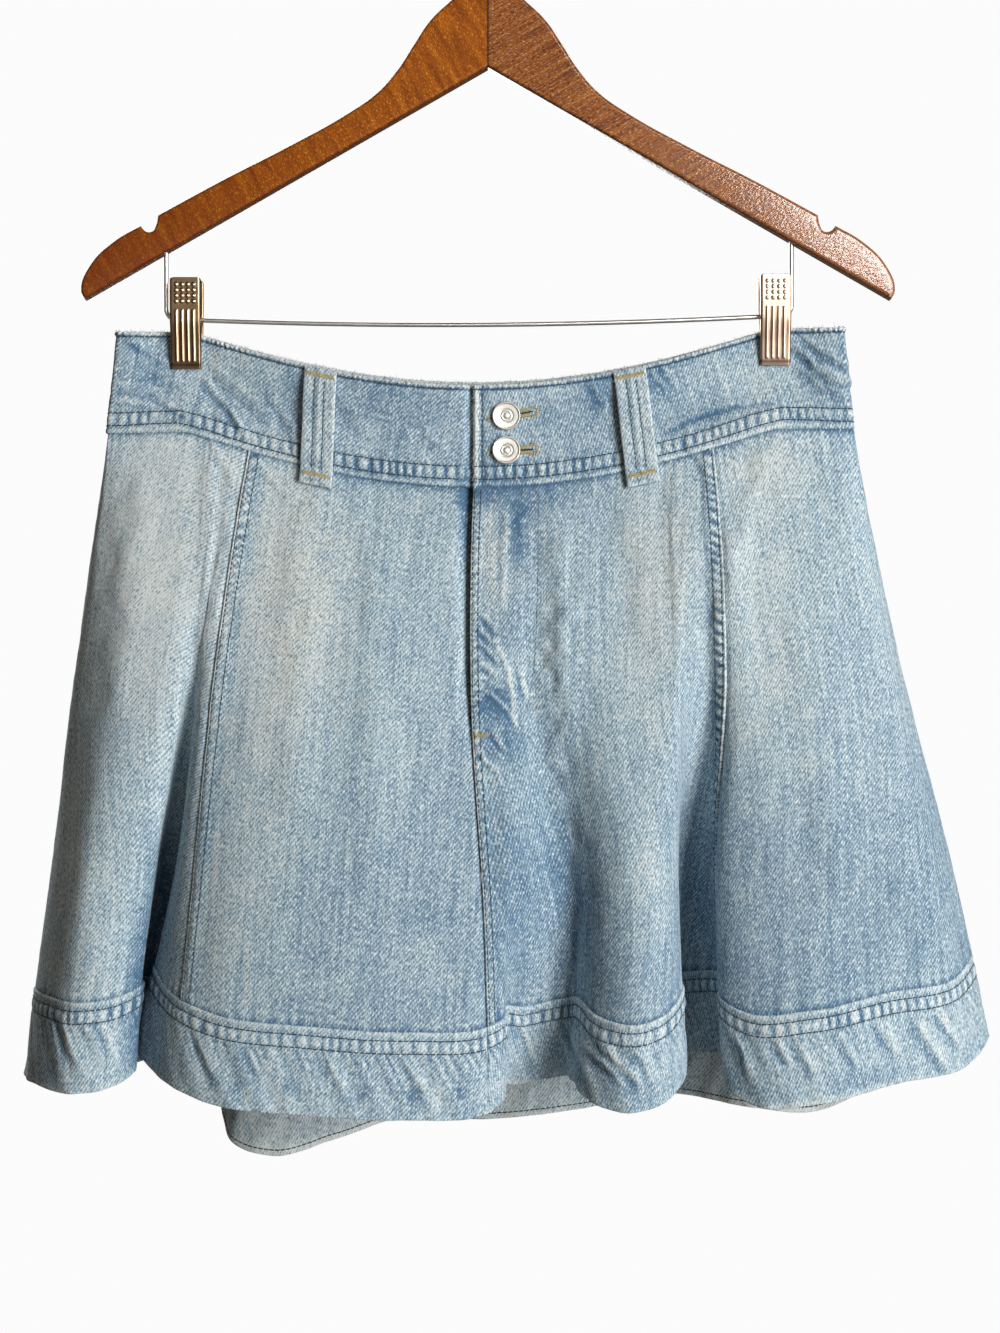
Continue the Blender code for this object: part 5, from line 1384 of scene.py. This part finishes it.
def platePress(x, top, half):  # relief, painted shade and painted highlight of the pressed dots and ribs
    look = clipLook
    relief, shade, bright = np.zeros(x.shape), np.zeros(x.shape), np.zeros(x.shape)
    for i in range(look["dots"]):
        column = i - (look["dots"] - 1) / 2
        for j in range(look["dots"]):
            aside, below = x - column * look["dotPitch"], top - look["dotTop"] - look["dotRow"] * j
            far = np.hypot(aside, below) / look["dotSize"]
            relief += look["dotHeight"] * np.maximum(0, 1 - far ** 2) ** 0.7
            bright += bell(far, 0, 0.6)
            # painted highlight on each dot and painted shade in a ring round it
            shade += 0.8 * bell(far, 1.15, 0.3)
        beside = (x - column * look["ribPitch"]) / look["ribHalf"]
        run = (rise(look["ribFrom"], look["ribFrom"] + look["ribEnd"], top)
               * (1 - rise(look["ribTo"] - look["ribEnd"], look["ribTo"], top)))
        relief += look["ribHeight"] * np.clip(1 - beside ** 2, 0, 1) ** 0.6 * run
        # painted highlight along each rib and painted shade beside it
        bright += 0.7 * bell(beside, 0.1, 0.7) * run
        shade += (0.75 * bell(beside, -1.7, 0.6) + 0.45 * bell(beside, 1.6, 0.5)) * run
    # painted shade below the ribs' lower end and along the side edges
    shade += 0.7 * bell(top, look["ribTo"] + 1.2, 1.0) + 0.45 * rise(half - 1.8, half, np.abs(x))
    return relief, shade, bright


def clipPlate(name, node, facing, middle, level, material):
    look = clipLook
    corner, half = look["corner"], form["clipWidth"] / 2
    rows, columns = look["frontGrid"] if facing > 0 else look["backGrid"]
    run = runAlong(clipProfile)
    s = np.linspace(0, run[-1], rows)
    out, height = [np.convolve(np.pad(np.interp(s, run, line), 4, mode="reflect", reflect_type="odd"),
                               np.ones(9) / 9, "valid") for line in clipProfile.T]
    # across the plate, from one free edge to the other: x, depth of the rounded corner, share of the flange
    edge = [(half, corner, share) for share in (1, 0.8, 0.6, 0.4, 0.2)]
    edge += [(half - corner * (1 - math.sin(a)), corner * (1 - math.cos(a)), 0)
             for a in np.linspace(math.pi / 2, 0, 6)]
    face = np.linspace(half - corner, corner - half, columns)[1:-1]
    far = [(-x, bend, share) for x, bend, share in edge[::-1]]
    xs, bends, backs = np.array(edge + [(x, 0, 0) for x in face] + far).T
    depth = np.minimum(look["flange"], out - look["insideJaw"])[:, None]
    back = np.minimum(bends + backs * np.maximum(depth - corner, 0), depth)
    top = s[:, None]
    nose = np.where(top < corner, corner - np.sqrt(np.maximum(0, corner ** 2 - (corner - top) ** 2)), 0)
    x = xs * (1 - nose / half)
    relief, shade, bright = [v * (backs == 0) for v in platePress(x, top, half)]
    # painted shade and painted highlight of the pressed relief, carried in the wash attribute
    tarnish = np.clip(np.stack([shade, bright, 0 * shade, 1 + 0 * shade], -1), 0, 1)
    height = np.broadcast_to(height[:, None], x.shape)
    outer, smooth = [np.stack([x, -facing * (out[:, None] - back + raised), height], -1)
                     for raised in (relief, 0)]
    normal = unit(np.cross(np.gradient(smooth, axis=0), np.gradient(smooth, axis=1)))
    if (normal[rows * 2 // 5, len(xs) * 3 // 7, 1] < 0) != (facing > 0):
        normal = -normal
    inner = smooth - normal * look["metal"]
    if facing > 0:
        outer, inner, tarnish = outer[:, ::-1], inner[:, ::-1], tarnish[:, ::-1]
    at = np.array([middle, 0, level])
    obj = shellFrom(name, outer + at, inner + at, washes=(tarnish, tarnish))
    dress(obj, [material], node)


for name, side, level in (("left", 1, barLook["levelLeft"]), ("right", -1, barLook["levelRight"])):
    middle = form["waistMiddle"] + side * form["clipSpan"] / 2
    tone = plateNickel["right" if side > 0 else "left"]
    clipPlate(f"clip{name.title()}Front", f"clip_{name}_front", 1, middle, level, tone)
    clipPlate(f"clip{name.title()}Back", f"clip_{name}_back", -1, middle, level, tone)
springSteel = metal("blackened spring steel", "#4A4540", 0.4)
for name in ("clip_left_spring", "clip_right_spring"):
    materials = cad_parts[name].data.materials
    materials.clear()
    materials.append(springSteel)
print("clips made")

# Buttons: pressed cap with plain rings, on a tack; distance from the axis and height above the seat
ringProfile = np.array([
    (0, 2.32), (0.9, 2.3), (1.35, 2.16), (1.6, 1.86), (2.0, 1.8), (2.25, 2.06), (2.6, 2.14), (2.95, 2.02),
    (3.15, 1.8), (3.5, 1.78), (3.75, 1.95), (4.4, 2.02), (5.4, 2.05), (6.3, 2.06), (6.6, 2.1), (6.8, 2.34),
    (7.1, 2.5), (7.4, 2.44), (7.62, 2.2), (7.7, 1.8), (7.7, 1.25), (7.45, 0.8), (7.0, 0.45), (2.0, 0.45),
    (2.0, -1.3), (0, -1.3)])


def whiteNickel(name):
    # Matt white nickel on pressed brass: silvery and soft, grey in the hollows of its rings.
    material, tree, shader = newMaterial(name, {"Metallic": 0.6, "Roughness": 0.46})
    fine = noise(tree, addNode(tree, "ShaderNodeTexCoord").outputs["Object"], 1 / (0.5 * mm), 3.0)
    tree.links.new(mix(tree, fine, linear("#A8A59D"), linear("#D0CCC4")), shader.inputs["Base Color"])
    addBump(tree, shader, fine, 0.4, 0.08)
    return material


buttonMetal = whiteNickel("white nickel on pressed brass")
turns = 72
angles = math.tau * np.arange(turns) / turns
for name, drop in zip(("buttonUpper", "buttonLower"), buttonLook["drops"]):
    level = np.array([drop / form["waistbandHeight"]])
    spot = np.array([placeAt(buttonLook["x"], level[0], False)])
    point, across, down, out = [v[0] for v in skirtFrame(spot, level)]
    seat = point + out * (form["waistbandWall"] / 2 + 0.25)
    right = unit(np.cross(np.array([0, 0, 1.0]), out))
    up = np.cross(out, right)
    ring = right * np.cos(angles)[:, None] + up * np.sin(angles)[:, None]
    rows = ringProfile[1:-1, :, None, None]
    grid = rows[:, 0] * ring + rows[:, 1] * out + seat
    vertices = np.concatenate([grid.reshape(-1, 3), seat + out * ringProfile[[0, -1], 1:]])
    index = np.arange(len(rows) * turns).reshape(len(rows), turns)
    ahead = np.roll(index, -1, 1)
    faces = np.stack([index[:-1], index[1:], ahead[1:], ahead[:-1]], -1).reshape(-1, 4).tolist()
    faces += [[len(vertices) - 2, int(a), int(b)] for a, b in zip(index[0], ahead[0])]
    faces += [[len(vertices) - 1, int(b), int(a)] for a, b in zip(index[-1], ahead[-1])]
    dress(meshFrom(name, vertices, faces), [buttonMetal], nodeOf(name))
print("buttons made")


# Stage: a round pale room, open above

stageLook = dict(floor=-1.35, radius=3.4, bend=0.9, wall=3.2, bendSteps=9, turns=72)
floor, radius, bend, spin = [stageLook[key] for key in ("floor", "radius", "bend", "turns")]
profile = [(radius + bend * math.sin(a), floor + bend * (1 - math.cos(a)))
           for a in np.linspace(0, math.pi / 2, stageLook["bendSteps"])]
profile.append((radius + bend, stageLook["wall"]))
vertices = np.array([(r * math.cos(math.tau * k / spin), r * math.sin(math.tau * k / spin), z)
                     for r, z in profile for k in range(spin)] + [(0, 0, floor)])
faces = [[i * spin + k, i * spin + (k + 1) % spin, (i + 1) * spin + (k + 1) % spin, (i + 1) * spin + k]
         for i in range(len(profile) - 1) for k in range(spin)]
faces += [[len(vertices) - 1, (k + 1) % spin, k] for k in range(spin)]
room = meshFrom("room", vertices / mm, faces)
room.data.materials.append(newMaterial("matt white paper", {
    "Base Color": (0, 0, 0, 1), "Roughness": 1.0, "Specular IOR Level": 0.0,
    "Emission Color": (1, 1, 1, 1), "Emission Strength": 0.97})[0])
room.visible_diffuse = room.visible_glossy = room.visible_transmission = room.visible_shadow = False


# White boards that only the shiny pieces mirror
boardTable = tableFrom("""
board          x    y     z wide high glow
rightBoard  0.74 -1.9  0.29 0.68 0.62   32
midBoard       0   -2 -0.12    1  0.3    1
lowBoard     0.2 -1.4  -1.3  2.2  0.5  0.8
leftBoard  -0.95 -1.6   0.1  0.3  1.2  0.7
""")
for row in boardTable:
    wide, high = row["wide"] / 2, row["high"] / 2
    corners = np.array([(row["x"] + a * wide, row["y"], row["z"] + b * high)
                        for a, b in ((-1, -1), (1, -1), (1, 1), (-1, 1))])
    board = meshFrom(row["board"], corners / mm, [[0, 1, 2, 3]])
    board.data.materials.append(newMaterial("white studio board " + row["board"], {
        "Base Color": (0, 0, 0, 1), "Emission Color": (1, 1, 1, 1), "Emission Strength": row["glow"]})[0])
    board.visible_camera = board.visible_diffuse = board.visible_transmission = board.visible_shadow = False
world = bpy.context.scene.world or bpy.data.worlds.new("studio")
bpy.context.scene.world = world
world.use_nodes = True
warmFill = world.node_tree.nodes["Background"]
warmFill.inputs["Color"].default_value = (1.0, 0.86, 0.70, 1)
warmFill.inputs["Strength"].default_value = 0.09
bpy.context.scene.view_settings.view_transform = "Standard"
lampTable = tableFrom("""
name   x    y     z wide high power
key  2.5 -2.8  0.05  1.9  3.4   165
low  1.1 -1.5 -1.35    1  0.6   2.5
back  -1  2.4   0.6  2.2  2.6    85
""")
lampAim = Vector((0, 0, -0.45))
for lamp in lampTable:
    light = bpy.data.lights.new(lamp["name"], "AREA")
    light.shape, light.energy = "RECTANGLE", lamp["power"]
    light.size, light.size_y = lamp["wide"], lamp["high"]
    obj = bpy.data.objects.new(lamp["name"], light)
    obj.location = (lamp["x"], lamp["y"], lamp["z"])
    obj.rotation_euler = (lampAim - obj.location).to_track_quat("-Z", "Y").to_euler()
    bpy.context.scene.collection.objects.link(obj)
print("stage and lights made")
